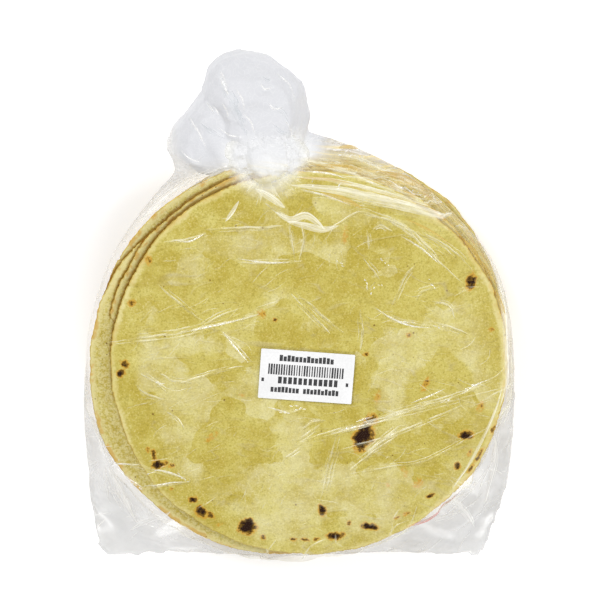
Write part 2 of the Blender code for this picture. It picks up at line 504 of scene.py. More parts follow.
def dough_group(pile):
    """The colour and relief of baked corn dough, with painted shade in the gaps and beside the film's
    wrinkles.
    """
    if kept := bpy.data.node_groups.get("corn_dough"):
        return kept
    inputs = [
        ("Vector", VECTOR, None), ("Layer", FLOAT, 0.0), ("Rim", FLOAT, 0.0), ("Side", FLOAT, 0.0),
        ("Toast", FLOAT, 0.0), ("Damp", FLOAT, 0.0), ("Crease", FLOAT, 0.0),
        ("Edge toast", FLOAT, 0.0), ("Age", FLOAT, 0.0), ("Gap", FLOAT, 0.0),
    ]
    group, source, result = new_group("corn_dough", inputs, [("Color", COLOUR), ("Height", FLOAT)])
    shift = scaled_vector(group, (0.73, 0.31, 0.17), source["Layer"])
    place = vector_node(group, "ADD", source["Vector"], shift)
    broad = noise_node(group, place, 22.0, detail=3.0, roughness=0.55)
    cloudy = noise_node(group, place, 95.0, detail=4.0, roughness=0.6)
    blotchy = noise_node(group, place, 260.0, detail=3.0, roughness=0.6)
    grain = noise_node(group, place, 1050.0, detail=3.0, roughness=0.7)
    body = times_plus(group, cloudy, 0.55, times(group, broad, 0.45))
    depth = range_node(group, body, 0.38, 0.62)
    colour = mix_colour(group, depth, with_alpha(pile.pale), with_alpha(pile.deep))

    # Mottling that tortillas further down show more strongly
    mottle = times(group, range_node(group, blotchy, 0.50, 0.72), 0.30)
    mottle = times_plus(group, source["Age"], range_node(group, cloudy, 0.4, 0.6, 0.05, 0.5), mottle)
    colour = mix_colour(group, mottle, colour, (0.49, 0.37, 0.075, 1))
    aged = mix_colour(group, source["Age"], (1, 1, 1, 1), (1.0, 0.95, 0.75, 1))
    colour = mix_colour(group, 1.0, colour, aged, blend="MULTIPLY")

    # Tortillas further down are floury, with pale flecks
    fleck = noise_node(group, place, 560.0, detail=4.0, roughness=0.75)
    flour = times(group, range_node(group, fleck, 0.58, 0.44), source["Age"])
    colour = mix_colour(group, times(group, flour, 1.15), colour, with_alpha(pile.rim))

    # Fine grain: paler and darker grits of corn
    grit = range_node(group, grain, 0.52, 0.66)
    dark_grit = tuple(0.62 * channel for channel in pile.deep)
    colour = mix_colour(group, times(group, grit, 0.55), colour, with_alpha(dark_grit))
    light = range_node(group, grain, 0.46, 0.34)
    colour = mix_colour(group, times(group, light, 0.50), colour, with_alpha(pile.rim))

    # The dry rim, wider in some places than in others
    rim_wave = times_plus(group, cloudy, 0.9, -0.45)
    rim_wave = times_plus(group, broad, 1.1, minus(group, rim_wave, 0.55))
    rim_at = plus(group, source["Rim"], rim_wave)
    frayed = times_plus(group, fleck, 1.0, minus(group, rim_at, 0.5))
    rim_share = times(group, range_node(group, frayed, 0.35, 0.85), 0.75)
    colour = mix_colour(group, rim_share, colour, with_alpha(pile.rim))

    # The baked side, ochre with darker stretches
    side_colour = mix_colour(
        group, range_node(group, blotchy, 0.36, 0.62), with_alpha(pile.side),
        (*(0.75 * channel for channel in pile.side), 1.0),
    )
    colour = mix_colour(group, source["Side"], colour, side_colour)

    # Damp patches are deeper and more yellow
    damp_tint = mix_colour(group, source["Damp"], (1, 1, 1, 1), (0.935, 0.915, 0.78, 1))
    colour = mix_colour(group, 1.0, colour, damp_tint, blend="MULTIPLY")

    # The thin shade beside each crease of the film
    crease_tint = mix_colour(group, source["Crease"], (1, 1, 1, 1), (0.80, 0.75, 0.55, 1))
    colour = mix_colour(group, 1.0, colour, crease_tint, blend="MULTIPLY")

    # Small dark specks of corn skin
    speck_cells = add_node(
        group, "ShaderNodeTexVoronoi", {"Vector": place, "Scale": 300.0, "Randomness": 1.0}
    )
    chance = add_node(group, "ShaderNodeSeparateColor", {0: speck_cells.outputs["Color"]})
    speck_size = range_node(group, chance.outputs[0], 0.86, 1.0, 0.0, 0.17)
    speck = math_node(group, "LESS_THAN", speck_cells.outputs["Distance"], speck_size)
    colour = mix_colour(group, times(group, speck, 0.75), colour, (0.17, 0.085, 0.014, 1))

    # Toasted edge: orange brown in stretches, along the outermost strip only
    near_edge = range_node(group, times_plus(group, blotchy, 0.6, source["Rim"]), 0.85, 1.15)
    edge_heat = times(group, source["Edge toast"], near_edge)
    edge_spots = times(group, range_node(group, cloudy, 0.47, 0.58), edge_heat)
    colour = mix_colour(group, edge_spots, colour, with_alpha(pile.toast))

    # The deep shade in the gap beside the tortilla above
    gap_tint = mix_colour(group, source["Gap"], (1, 1, 1, 1), (0.46, 0.29, 0.06, 1))
    colour = mix_colour(group, 1.0, colour, gap_tint, blend="MULTIPLY")

    # Toasted marks: an orange halo, then brown, then charred, with ragged edges
    ragged = times_plus(group, blotchy, 0.8, -0.40)
    fine = times_plus(group, noise_node(group, place, 520.0, detail=3.0, roughness=0.7), 0.9, -0.45)
    heat_noise = plus(group, ragged, fine)
    marked = range_node(group, source["Toast"], 0.02, 0.30)
    heat = times_plus(group, heat_noise, marked, source["Toast"])
    halo = range_node(group, heat, 0.07, 0.40)
    colour = mix_colour(group, times(group, halo, 0.85), colour, with_alpha(pile.toast))
    brown = tuple(0.27 * channel for channel in pile.toast)
    colour = mix_colour(group, range_node(group, heat, 0.36, 0.60), colour, with_alpha(brown))
    colour = mix_colour(group, range_node(group, heat, 0.60, 0.92), colour, with_alpha(pile.char))
    group.links.new(colour, result["Color"])

    pits = voronoi_node(group, place, 330.0)
    relief = times_plus(group, grain, 0.6, times(group, pits, 0.5))
    relief = times_plus(group, cloudy, 0.9, relief)
    group.links.new(relief, result["Height"])
    return group


def tortilla_material(pile, front):
    name = "front_tortilla_dough" if front else "tortilla_dough"
    if kept := bpy.data.materials.get(name):
        return kept
    material, tree, shader, place = new_material(name)
    dough = add_node(tree, "ShaderNodeGroup", {"Vector": place}, node_tree=dough_group(pile))
    attributes = (
        ("Layer", "layer"), ("Rim", "rim"), ("Side", "side"), ("Toast", "toast"), ("Gap", "gap"),
    )
    for socket, attribute in attributes:
        tree.links.new(attribute_node(tree, attribute), dough.inputs[socket])
    if front:
        cling = add_node(
            tree, "ShaderNodeGroup", {"Vector": place, "Bias": attribute_node(tree, "bias")},
            node_tree=cling_group(),
        )
        tree.links.new(cling.outputs["Cling"], dough.inputs["Damp"])
        # The wrinkles, shifted a little aside, paint a shade beside each of them on the dough
        beside = vector_node(tree, "ADD", place, (-0.00045, 0.00055, 0.0))
        crumple = add_node(tree, "ShaderNodeGroup", {"Vector": beside}, node_tree=crumple_group())
        tree.links.new(crumple.outputs["Line"], dough.inputs["Crease"])
    set_inputs(tree, dough, {"Edge toast": 0.25 if front else 0.65, "Age": 0.0 if front else 0.6})
    set_inputs(tree, shader, {
        "Base Color": dough.outputs["Color"], "Roughness": 0.72, "IOR": 1.15,
        "Normal": bump_node(tree, dough.outputs["Height"], 0.6, 0.0005),
    })
    return material


def film_look_group():
    """How much clear film hides, and its crinkles, from where it clings, hangs or is gathered."""
    if kept := bpy.data.node_groups.get("film_look"):
        return kept
    inputs = [
        ("Vector", VECTOR, None), ("Cling", FLOAT, 0.0), ("Loose", FLOAT, 0.0), ("Crease", FLOAT, 0.0),
        ("Steep", FLOAT, 0.0), ("Bare", FLOAT, 0.0), ("Open", FLOAT, 0.0), ("Pleat", FLOAT, 0.0),
        ("Gathered", FLOAT, 0.0), ("Knot", FLOAT, 0.0), ("Haze", FLOAT, 0.1), ("Body", FLOAT, 0.3),
        ("Milk", FLOAT, 0.4),
    ]
    outputs = [("Alpha", FLOAT), ("Height", FLOAT), ("Streak", FLOAT)]
    group, source, result = new_group("film_look", inputs, outputs)
    place = source["Vector"]
    crumpled = bent_place(group, place, 90.0, 0.010)
    facets = voronoi_node(group, crumpled, 170.0, feature="DISTANCE_TO_EDGE")
    soft = noise_node(group, place, 40.0, detail=2.0, roughness=0.5)
    relief = times(group, facets, source["Knot"])
    calm = times_plus(group, source["Open"], -0.5, 0.7)
    relief = plus(group, times(group, soft, calm), relief)
    group.links.new(relief, result["Height"])

    # Pleats that fan out from the knot over the right shoulder
    bent = bent_place(group, flat_place(group, place), 12.0, 0.012)
    from_fan = vector_node(group, "SUBTRACT", bent, FAN_FROM)
    parts = add_node(group, "ShaderNodeSeparateXYZ", {0: from_fan}).outputs
    turn = math_node(group, "ARCTAN2", parts[1], parts[0])
    reach = length_node(group, from_fan)
    fan = combine_node(group, times(group, turn, 44.0), times(group, reach, 13.0))
    rays = noise_node(group, fan, 1.0, detail=3.0, roughness=0.6)
    streak = times(group, range_node(group, rays, 0.49, 0.62), source["Pleat"])
    group.links.new(streak, result["Streak"])

    cloudy = noise_node(group, place, 80.0, detail=4.0, roughness=0.65)
    veil = range_node(group, cloudy, 0.35, 0.68, 0.3, 1.8)
    free = minus(group, 1.0, source["Cling"])
    free = times(group, free, times_plus(group, source["Loose"], -0.7, 1.0))
    alpha = times(group, times(group, free, source["Haze"]), veil)
    covering = times_plus(group, source["Open"], -0.18, 0.20)
    # Pale lines along the fine wrinkles: a painted highlight on the film
    alpha = times_plus(group, source["Crease"], covering, alpha)
    # Painted sheen where the film slopes over the front tortilla
    alpha = times_plus(group, source["Steep"], 0.20, alpha)
    shown = minus(group, 1.0, source["Bare"])
    alpha = times(group, alpha, shown)
    alpha = times_plus(group, streak, 0.36, alpha)
    broad = noise_node(group, place, 26.0, detail=2.0, roughness=0.5, distortion=0.5)
    body = range_node(group, broad, 0.34, 0.66, 0.82, 1.18)
    body = times(group, body, times(group, source["Body"], source["Open"]))
    alpha = plus(group, alpha, body)
    milk = times(group, source["Milk"], range_node(group, cloudy, 0.3, 0.7, 0.88, 1.12))
    alpha = math_node(group, "MULTIPLY_ADD", source["Gathered"], milk, alpha, clamp=True)
    group.links.new(alpha, result["Alpha"])
    return group


def film_material(film, name, milk, relief=0.3):
    """Thin clear film: glossy, see-through face on, milky where it is loose, creased or gathered."""
    if kept := bpy.data.materials.get(name):
        return kept
    material, tree, shader, place = new_material(name)
    gathered, knotted = attribute_node(tree, "gathered"), attribute_node(tree, "knot")
    spread = attribute_node(tree, "open")
    loose = attribute_node(tree, "loose")
    cling = add_node(
        tree, "ShaderNodeGroup",
        {"Vector": place, "Loose": loose, "Bias": attribute_node(tree, "bias")},
        node_tree=cling_group(),
    )
    crumple = add_node(tree, "ShaderNodeGroup", {"Vector": place}, node_tree=crumple_group())
    look = add_node(
        tree, "ShaderNodeGroup",
        {
            "Vector": place, "Cling": cling.outputs["Cling"], "Loose": loose,
            "Crease": crumple.outputs["Line"], "Steep": attribute_node(tree, "steep"),
            "Bare": attribute_node(tree, "bare"), "Open": spread,
            "Pleat": attribute_node(tree, "pleat"), "Gathered": gathered, "Knot": knotted,
            "Haze": film.haze, "Body": film.body, "Milk": milk,
        },
        node_tree=film_look_group(),
    )
    bump = bump_node(tree, look.outputs["Height"], relief, 0.0020)
    slant = add_node(tree, "ShaderNodeLayerWeight", {"Blend": 0.3, "Normal": bump}).outputs["Facing"]
    grazing = math_node(tree, "POWER", slant, 3.0)
    alpha = times_plus(tree, grazing, 0.25, look.outputs["Alpha"])
    alpha = plus(tree, alpha, 0.006)
    colour = mix_colour(tree, spread, with_alpha(film.veil), with_alpha(film.shade))
    threads = voronoi_node(tree, bent_place(tree, place, 90.0, 0.012), 420.0, feature="DISTANCE_TO_EDGE")
    strength = times_plus(tree, knotted, 0.6, 0.22)
    threads = times(tree, range_node(tree, threads, 0.07, 0.0), strength)
    milky = mix_colour(tree, threads, with_alpha(film.milky), (0.90, 0.90, 0.90, 1.0))
    colour = mix_colour(tree, gathered, colour, milky)
    colour = mix_colour(tree, knotted, colour, (0.86, 0.865, 0.86, 1.0))
    colour = mix_colour(tree, look.outputs["Streak"], colour, (0.80, 0.64, 0.24, 1.0))
    dull = math_node(tree, "MAXIMUM", gathered, times(tree, spread, 0.25))
    set_inputs(tree, shader, {
        "Base Color": colour, "Alpha": math_node(tree, "MINIMUM", alpha, 1.0), "IOR": film.gloss,
        "Roughness": range_node(tree, dull, 0.0, 1.0, film.roughness, film.roughness + 0.57),
        "Normal": bump,
    })
    return material


# ---------------------------------------------------------------------------------------------
# Tortillas

# Where the upper tortillas lie: middle x and y, radius as a share, how far a free edge droops
UPPER_TORTILLAS = (
    (0.0, 0.0, 1.000, 0.0), (1.8 * MM, 2.2 * MM, 0.988, 0.2 * MM),
    (-3.4 * MM, 3.6 * MM, 0.992, 0.6 * MM), (-14.0 * MM, -4.8 * MM, 0.979, 2.4 * MM),
    (-11.2 * MM, 4.0 * MM, 0.983, 3.8 * MM),
)
FIRST_SEED = 11
GAP_TURN = math.radians(150)    # the painted shade in the gaps between the tortillas is deepest in this direction
RIM_TURNS = (math.radians(140), 0.0)    # the dry rim is palest in these directions
LOW_RIM_TURNS = (math.radians(150), math.radians(200), math.radians(240), 0.0)
TORN = 2                    # this one has lost a strip of its left side
TEAR_FROM = math.radians(167)
TEAR_TO = math.radians(262)
TEAR_DEPTH = 0.05           # as a share of its radius
ROUNDING = 1.0 * MM         # width of the rounded edge
EDGE_THINNING = 0.35        # how much thinner a tortilla is at its edge
FREE_REACH = 100 * MM       # past this far from the pile's middle, a tortilla has nothing under it

# Toasted marks on the front tortilla: x, y, half length, half width in mm, turn in degrees, heat
TOASTED_MARKS = (
    (82, 45, 5.0, 2.6, 75, 0.86), (28, -37, 8.5, 5.2, 70, 1.0), (32, -28, 5.0, 3.2, 60, 0.62),
    (35, -16, 5.0, 2.2, 70, 0.30), (-32, -86, 5.0, 4.6, 20, 1.1), (-78, -52, 3.6, 2.7, 10, 0.98),
    (-80, -47, 4.0, 1.2, 100, 0.78), (-74, -51, 1.6, 1.4, 0, 0.52), (-71, -53, 2.0, 1.5, 0, 0.66),
    (-83, -44, 2.2, 1.2, 100, 0.45), (-94, 2, 2.8, 2.3, 120, 0.72), (-96, -3, 2.4, 2.0, 0, 0.98),
    (-90, 34, 2.3, 2.0, 0, 0.55), (-81, 56, 3.3, 1.9, 100, 0.42), (-60, -71, 2.7, 2.1, 20, 0.88),
    (-56, -78, 3.6, 3.0, 120, 0.90), (-51, -80, 3.2, 1.8, 150, 0.62), (-71, -65, 1.4, 1.2, 0, 0.5),
    (-46, -85, 2.8, 1.3, 0, 0.30), (-24, -92, 1.9, 1.6, 0, 0.7), (7, -77, 3.3, 2.3, 110, 0.9),
    (32, -86, 5.0, 2.2, 170, 0.92), (14, -91, 5.2, 2.4, 5, 0.94), (21, -84, 1.7, 1.4, 80, 0.6),
    (-8, -93, 2.2, 1.1, 0, 0.8), (-2, -93, 2.6, 1.0, 170, 0.78), (4, -93, 2.2, 1.1, 20, 0.7),
    (81, -36, 4.2, 2.6, 10, 0.90), (77, -53, 2.6, 1.9, 80, 0.84), (83, -46, 3.4, 1.2, 60, 0.34),
    (63, -69, 2.6, 1.2, 20, 0.72), (57, -62, 3.8, 2.9, 60, 0.32), (50, -56, 3.8, 2.2, 110, 0.27),
    (41, -63, 2.0, 1.6, 0, 0.24), (46, -81, 2.4, 0.9, 20, 0.62), (51, -79, 2.2, 0.9, 25, 0.6),
    (88, -21, 3.6, 2.2, 70, 0.42), (60, -9, 5.2, 2.0, 65, 0.40), (29, 7, 2.0, 1.6, 20, 0.45),
    (51, 17, 2.4, 1.6, 0, 0.36), (93, 20, 1.8, 1.5, 0, 0.45), (-24, 28, 3.3, 2.5, 90, 0.34),
    (-17, 25, 1.3, 1.1, 0, 0.9), (-50, -37, 4.4, 2.0, 40, 0.36), (-34, -15, 2.2, 1.6, 0, 0.28),
    (18, 69, 6.5, 2.2, 85, 0.27), (95, -33, 2.6, 1.2, 60, 0.6), (88, -47, 5.5, 1.2, 62, 0.55),
    (84, -54, 4.0, 1.2, 58, 0.6), (-60, 86, 3.0, 1.5, 30, 0.25),
)


def ragged_outline(angles, radius, seed):
    """The uneven outline of a pressed tortilla: slow waves, flats and small nicks."""
    rng = np.random.default_rng(seed)
    outline = np.ones_like(angles)
    for wave in range(2, 9):
        size = 0.0062 / wave**0.8
        outline += size * rng.normal() * np.cos(wave * angles + rng.uniform(0, 2 * math.pi))
    ring = np.stack([np.cos(angles), np.sin(angles), np.zeros_like(angles)], axis=1) * radius
    rough = noise_at(ring, 14.0 * MM, seed) * 0.9 * MM + noise_at(ring, 3.1 * MM, seed) * 0.28 * MM
    rough += noise_at(ring, 1.3 * MM, seed + 2) * 0.34 * MM
    nicks = np.maximum(noise_at(ring, 1.9 * MM, seed + 5) - 0.3, 0.0) * 1.6 * MM
    return outline * radius + rough - nicks


def torn_share(angles):
    """How much of the radius is left at each angle of the torn tortilla."""
    whole = np.mod(angles, 2 * math.pi)
    begun = smooth_step(TEAR_FROM, TEAR_FROM + 0.05, whole)
    gone = begun * (1 - smooth_step(TEAR_TO, TEAR_TO + 0.3, whole))
    return 1 - TEAR_DEPTH * gone


def free_edge_drop(points, drop):
    """How far the part of a tortilla that hangs past the pile sinks."""
    reach = reach_of(points)
    share = np.clip((reach - FREE_REACH) / (14 * MM), 0.0, 1.4)
    return drop * share**1.5


def disc_points(centre, radius, thickness, seed, segments, shares, torn=False):
    """Rings of a disc with rounded edges: upper points, rim points and lower points, at height 0."""
    angles = np.linspace(0, 2 * math.pi, segments, endpoint=False)
    outline = ragged_outline(angles, radius, seed)
    if torn:
        outline *= torn_share(angles)
    round_from = 1.0 - ROUNDING / radius
    upper, lower = [], []
    for share in shares:
        ring = np.stack(
            [centre[0] + outline * share * np.cos(angles), centre[1] + outline * share * np.sin(angles)],
            axis=1,
        )
        bend = max(0.0, (share - round_from) / (1 - round_from))
        thin = 1 - EDGE_THINNING * float(smooth_step(0.93, 0.99, share))
        half = thin * thickness / 2 * math.sqrt(max(0.0, 1 - bend**2.4))
        upper.append(np.column_stack([ring, np.full(segments, half)]))
        lower.append(np.column_stack([ring, np.full(segments, -half)]))
    return upper, lower


def disc_mesh(name, centre, radius, thickness, seed, segments, upper_shares, lower_shares, torn=False,
              rim_turns=(0.0,)):
    """A closed disc, as a new object, with how close each point is to the rim and to the side."""
    upper = disc_points(centre, radius, thickness, seed, segments, upper_shares, torn)[0]
    lower = disc_points(centre, radius, thickness, seed, segments, lower_shares, torn)[1]
    rings = upper + lower[::-1][1:]
    shares = list(upper_shares) + list(lower_shares)[::-1][1:]
    points = np.vstack(rings + [[(*centre, thickness / 2), (*centre, -thickness / 2)]])
    top_middle, low_middle = len(points) - 2, len(points) - 1
    faces = []
    for ring in range(len(rings) - 1):
        start, below = ring * segments, (ring + 1) * segments
        for step in range(segments):
            after = (step + 1) % segments
            faces.append((start + step, below + step, below + after, start + after))
    last = (len(rings) - 1) * segments
    for step in range(segments):
        after = (step + 1) % segments
        faces.append((top_middle, step, after))
        faces.append((low_middle, last + after, last + step))
    piece = new_mesh_object(name, points, faces)
    inset = np.concatenate([np.repeat((1 - np.array(shares)) * radius, segments), [radius, radius]])
    is_upper = np.arange(len(points)) < len(upper) * segments
    side = np.where(is_upper, 1 - smooth_step(0.10 * MM, 0.8 * MM, inset), 1.0)
    turn = turn_of(points)
    shown = np.max([np.cos(turn - rim_turn) for rim_turn in rim_turns], axis=0)
    strength = 0.4 + 0.6 * np.clip(shown, 0.0, 1.0)
    store_values(piece.data, "rim", (1 - smooth_step(0.0, 6 * MM, inset)) * strength)
    store_values(piece.data, "side", side)
    return piece


def toast_values(points):
    """How strongly each point of the front tortilla is toasted, 0 to about 1."""
    place = points[:, :2] / MM
    wobble = [
        noise_at(points, 3.2 * MM, seed) * 1.0 + noise_at(points, 1.5 * MM, seed) * 0.35
        for seed in (3.0, 4.0)
    ]
    heat = np.zeros(len(points))
    for x, y, half_length, half_width, turn, strength in TOASTED_MARKS:
        angle = math.radians(turn)
        size = min(1.0, half_width / 3.0)
        east = place[:, 0] + wobble[0] * size - x
        north = place[:, 1] + wobble[1] * size - y
        along = east * math.cos(angle) + north * math.sin(angle)
        across = north * math.cos(angle) - east * math.sin(angle)
        away = np.sqrt((along / half_length) ** 2 + (across / half_width) ** 2)
        heat = np.maximum(heat, strength * (1 - smooth_step(0.25, 1.45, away)))
    return heat


def pile_pitch(pile):
    return (PILE_TOP - PILE_BASE) / pile.count


def outline_of(pile, index):
    """The outline of an upper tortilla: angles round its middle, and its reach at each of them."""
    angles = np.linspace(-math.pi, math.pi, 1441)
    outline = ragged_outline(angles, pile.radius * UPPER_TORTILLAS[index][2], FIRST_SEED + index)
    return angles, outline * (torn_share(angles) if index == TORN else 1.0)


def gap_values(pile, points, above):
    """How much each point lies in the shade beside the edges of the tortillas above it, 0 to 1."""
    nearest = np.full(len(points), 1.0)
    for index in range(above):
        east = points[:, 0] - UPPER_TORTILLAS[index][0]
        north = points[:, 1] - UPPER_TORTILLAS[index][1]
        past = np.hypot(east, north) - np.interp(np.arctan2(north, east), *outline_of(pile, index))
        nearest = np.minimum(nearest, past)
    turn = turn_of(points)
    upper_left = np.clip(np.cos(turn - GAP_TURN), 0.0, 1.0) ** 2
    width = (1.3 + 0.4 * upper_left + 0.8 * noise_at(points * (1, 1, 0), 9 * MM, 4.0)) * MM
    return (0.50 + 0.50 * upper_left) * (1 - smooth_step(0.25, 1.0, nearest / width))


def make_upper_tortilla(pile, index):
    """One of the tortillas at the top of the pile, each laid as listed."""
    x, y, share, drop = UPPER_TORTILLAS[index]
    front = index == 0
    edge_rings = [0.982, 0.990, 0.993, 0.9965, 1.0]
    if front:
        fine = np.concatenate([np.linspace(0.012, 0.973, 92), edge_rings])
    else:
        fine = np.concatenate([np.linspace(0.2, 0.78, 4), np.linspace(0.80, 0.975, 30), edge_rings])
    coarse = np.concatenate([np.linspace(0.2, 0.94, 6), [0.98, 0.99, 1.0]])
    name = "tortilla_front" if front else f"tortilla_{index + 1}"
    piece = disc_mesh(
        name, (x, y), pile.radius * share, pile.thickness, FIRST_SEED + index, 700 if front else 520,
        fine, coarse, torn=index == TORN, rim_turns=RIM_TURNS if front else LOW_RIM_TURNS,
    )
    mesh = piece.data
    points = points_of(mesh)
    ripple = noise_at(points * (1, 1, 0), 26 * MM, 2.0 + index) * 0.32 * MM
    ripple += noise_at(points * (1, 1, 0), 7 * MM, 8.0 + index) * 0.10 * MM
    reach = np.hypot(points[:, 0] - x, points[:, 1] - y) / pile.radius
    ripple += noise_at(points * (1, 1, 0), 45 * MM, 5.0 + index) * 0.7 * MM * reach**5
    middle = PILE_TOP - pile.thickness / 2 - index * pile_pitch(pile)
    ripple = np.minimum(ripple, 0.25 * MM) if front else ripple * 0.6
    points[:, 2] += middle + ripple - free_edge_drop(points, drop)
    set_points(mesh, points)
    store_values(mesh, "toast", toast_values(points) if front else np.zeros(len(points)))
    store_values(mesh, "gap", gap_values(pile, points, index))
    store_values(mesh, "bias", cling_bias(points))
    store_values(mesh, "layer", np.full(len(points), 0.37 * index))
    mesh.materials.append(tortilla_material(pile, front))
    mesh.shade_smooth()
    return piece


def pile_tree():
    """Geometry Nodes: copies of one tortilla laid on each other, each shifted, turned and rippled."""
    tree, given, result = new_tree("tortilla_pile", (
        ("Tortilla", "NodeSocketObject"), ("Count", "NodeSocketInt"), ("Pitch", FLOAT),
        ("Lean", VECTOR), ("Shift", FLOAT), ("Ripple", FLOAT), ("Radius", FLOAT),
        ("Seed", "NodeSocketInt"),
    ))

    step = combine_node(tree, z=given["Pitch"])
    line = add_node(tree, "GeometryNodeMeshLine", {"Count": given["Count"], "Offset": step})
    index = tree.nodes.new("GeometryNodeInputIndex").outputs[0]
    depth = math_node(tree, "DIVIDE", index, given["Count"])
    low = scaled_vector(tree, given["Lean"], minus(tree, 1.0, depth))
    spread = combine_node(tree, given["Shift"], given["Shift"])
    spread_back = scaled_vector(tree, spread, -1.0)
    aside = output_of(
        tree, "FunctionNodeRandomValue", {"Min": spread_back, "Max": spread, "Seed": given["Seed"]},
        data_type="FLOAT_VECTOR",
    )
    offset = vector_node(tree, "ADD", low, aside)
    laid = output_of(tree, "GeometryNodeSetPosition", {"Geometry": line.outputs[0], "Offset": offset})
    named = output_of(
        tree, "GeometryNodeStoreNamedAttribute",
        {"Geometry": laid, "Name": "layer", "Value": plus(tree, depth, 2.0)},
        data_type="FLOAT", domain="POINT",
    )
    turn = output_of(
        tree, "FunctionNodeRandomValue", {"Max": (0.0, 0.0, 2 * math.pi), "Seed": given["Seed"]},
        data_type="FLOAT_VECTOR",
    )
    grow = add_node(
        tree, "FunctionNodeRandomValue", {2: 0.985, 3: 1.008, "Seed": given["Seed"]}, data_type="FLOAT"
    ).outputs[1]
    scale = combine_node(tree, grow, grow, 1.0)
    shape = add_node(tree, "GeometryNodeObjectInfo", {"Object": given["Tortilla"]}).outputs["Geometry"]
    copies = output_of(
        tree, "GeometryNodeInstanceOnPoints",
        {"Points": named, "Instance": shape, "Rotation": turn, "Scale": scale},
    )
    solid = output_of(tree, "GeometryNodeRealizeInstances", {"Geometry": copies})

    # A slow ripple that neighbours share, stronger towards the rim
    place = tree.nodes.new("GeometryNodeInputPosition").outputs[0]
    squeezed = vector_node(tree, "MULTIPLY", place, (1.0, 1.0, 3.4))
    wave = output_of(tree, "ShaderNodeTexNoise", {"Vector": squeezed, "Scale": 24.0, "Detail": 1.5})
    centred = minus(tree, wave, 0.5)
    parts = add_node(tree, "ShaderNodeSeparateXYZ", {0: place}).outputs
    across = combine_node(tree, parts[0], parts[1])
    reach = length_node(tree, across)
    rimward = math_node(tree, "POWER", math_node(tree, "DIVIDE", reach, given["Radius"]), 6.0)
    lift = times(tree, times(tree, centred, rimward), given["Ripple"])
    rise = combine_node(tree, z=lift)
    rippled = output_of(tree, "GeometryNodeSetPosition", {"Geometry": solid, "Offset": rise})
    finish_tree(tree, rippled, given["Material"], result)
    return tree


def new_tree(name, inputs):
    """A Geometry Nodes tree with named inputs, given as (name, socket type)."""
    tree = bpy.data.node_groups.new(name, "GeometryNodeTree")
    for label, kind in (("Geometry", "NodeSocketGeometry"), *inputs, ("Material", "NodeSocketMaterial")):
        tree.interface.new_socket(label, in_out="INPUT", socket_type=kind)
    tree.interface.new_socket("Geometry", in_out="OUTPUT", socket_type="NodeSocketGeometry")
    given = tree.nodes.new("NodeGroupInput").outputs
    result = tree.nodes.new("NodeGroupOutput")
    return tree, given, result


def finish_tree(tree, geometry, material, result):
    solid = output_of(tree, "GeometryNodeRealizeInstances", {"Geometry": geometry})
    finished = output_of(tree, "GeometryNodeSetMaterial", {"Geometry": solid, "Material": material})
    tree.links.new(finished, result.inputs[0])


def run_tree(piece, tree, inputs):
    """Gives a piece the mesh that a Geometry Nodes tree makes, as a plain mesh."""
    maker = piece.modifiers.new("maker", "NODES")
    maker.node_group = tree
    sockets = {item.name: item.identifier for item in tree.interface.items_tree if item.in_out == "INPUT"}
    for label, value in inputs.items():
        maker[sockets[label]] = value
    piece.update_tag()
    bake_modifiers(piece)


def make_lower_pile(pile):
    """All the tortillas under the listed ones."""
    count = pile.count - len(UPPER_TORTILLAS)
    pitch = pile_pitch(pile)
    shares = [0.5, 0.9, 0.955, 0.984, 0.992, 1.0]
    pattern = disc_mesh(
        "tortilla_pattern", (0.0, 0.0), pile.radius, pile.thickness, 29, 300, shares, shares
    )
    mesh = pattern.data
    store_values(mesh, "toast", np.zeros(len(mesh.vertices)))
    points = points_of(mesh)
    points[:, 2] += PILE_BASE + pile.thickness / 2
    set_points(mesh, points)
    piece = new_mesh_object("tortillas_below", [(0, 0, 0)], [])
    run_tree(piece, pile_tree(), {
        "Tortilla": pattern, "Count": count, "Pitch": pitch, "Lean": (1.0 * MM, 4.3 * MM, 0.0),
        "Shift": 1.4 * MM, "Ripple": 2.6 * MM, "Radius": pile.radius, "Seed": 5,
        "Material": tortilla_material(pile, False),
    })
    remove_piece(pattern)
    gaps = gap_values(pile, points_of(piece.data), len(UPPER_TORTILLAS))
    store_values(piece.data, "gap", 0.45 * gaps)
    piece.data.shade_smooth()
    return piece


# ---------------------------------------------------------------------------------------------
# Film

SIM_SCALE = 10.0            # the cloth solver works best on things of about a metre
SOFTENING_LEVELS = 4
THIN_EDGE_STRETCH = 2.2     # the film's edge is thinner than a cell of the mesh
KNOT = Vector((-0.021, 0.106, 0.036))
TAIL_FROM = 0.103           # past this y, near the knot, film belongs to the tail
FAN_FROM = (-0.080, 0.125, 0.0)     # the pleats over the right shoulder fan out from here
PLEAT_ANGLE = math.radians(72)      # they lie past a straight line square to this direction

# The rims show along the left between these directions, which fade in and out over a few degrees
RIMS_LEFT = (
    (math.radians(104), math.radians(114)), (math.radians(244), math.radians(254)),
)

# Tail lobes, filled with crumpled film: middle, half sizes
TAIL_LOBES = (
    ((-0.0280, 0.1290, 0.0260), (0.0206, 0.0231, 0.0181)),
    ((-0.0450, 0.1150, 0.0245), (0.0197, 0.0197, 0.0168)),
    ((-0.0200, 0.1070, 0.0325), (0.0126, 0.0130, 0.0147)),
)

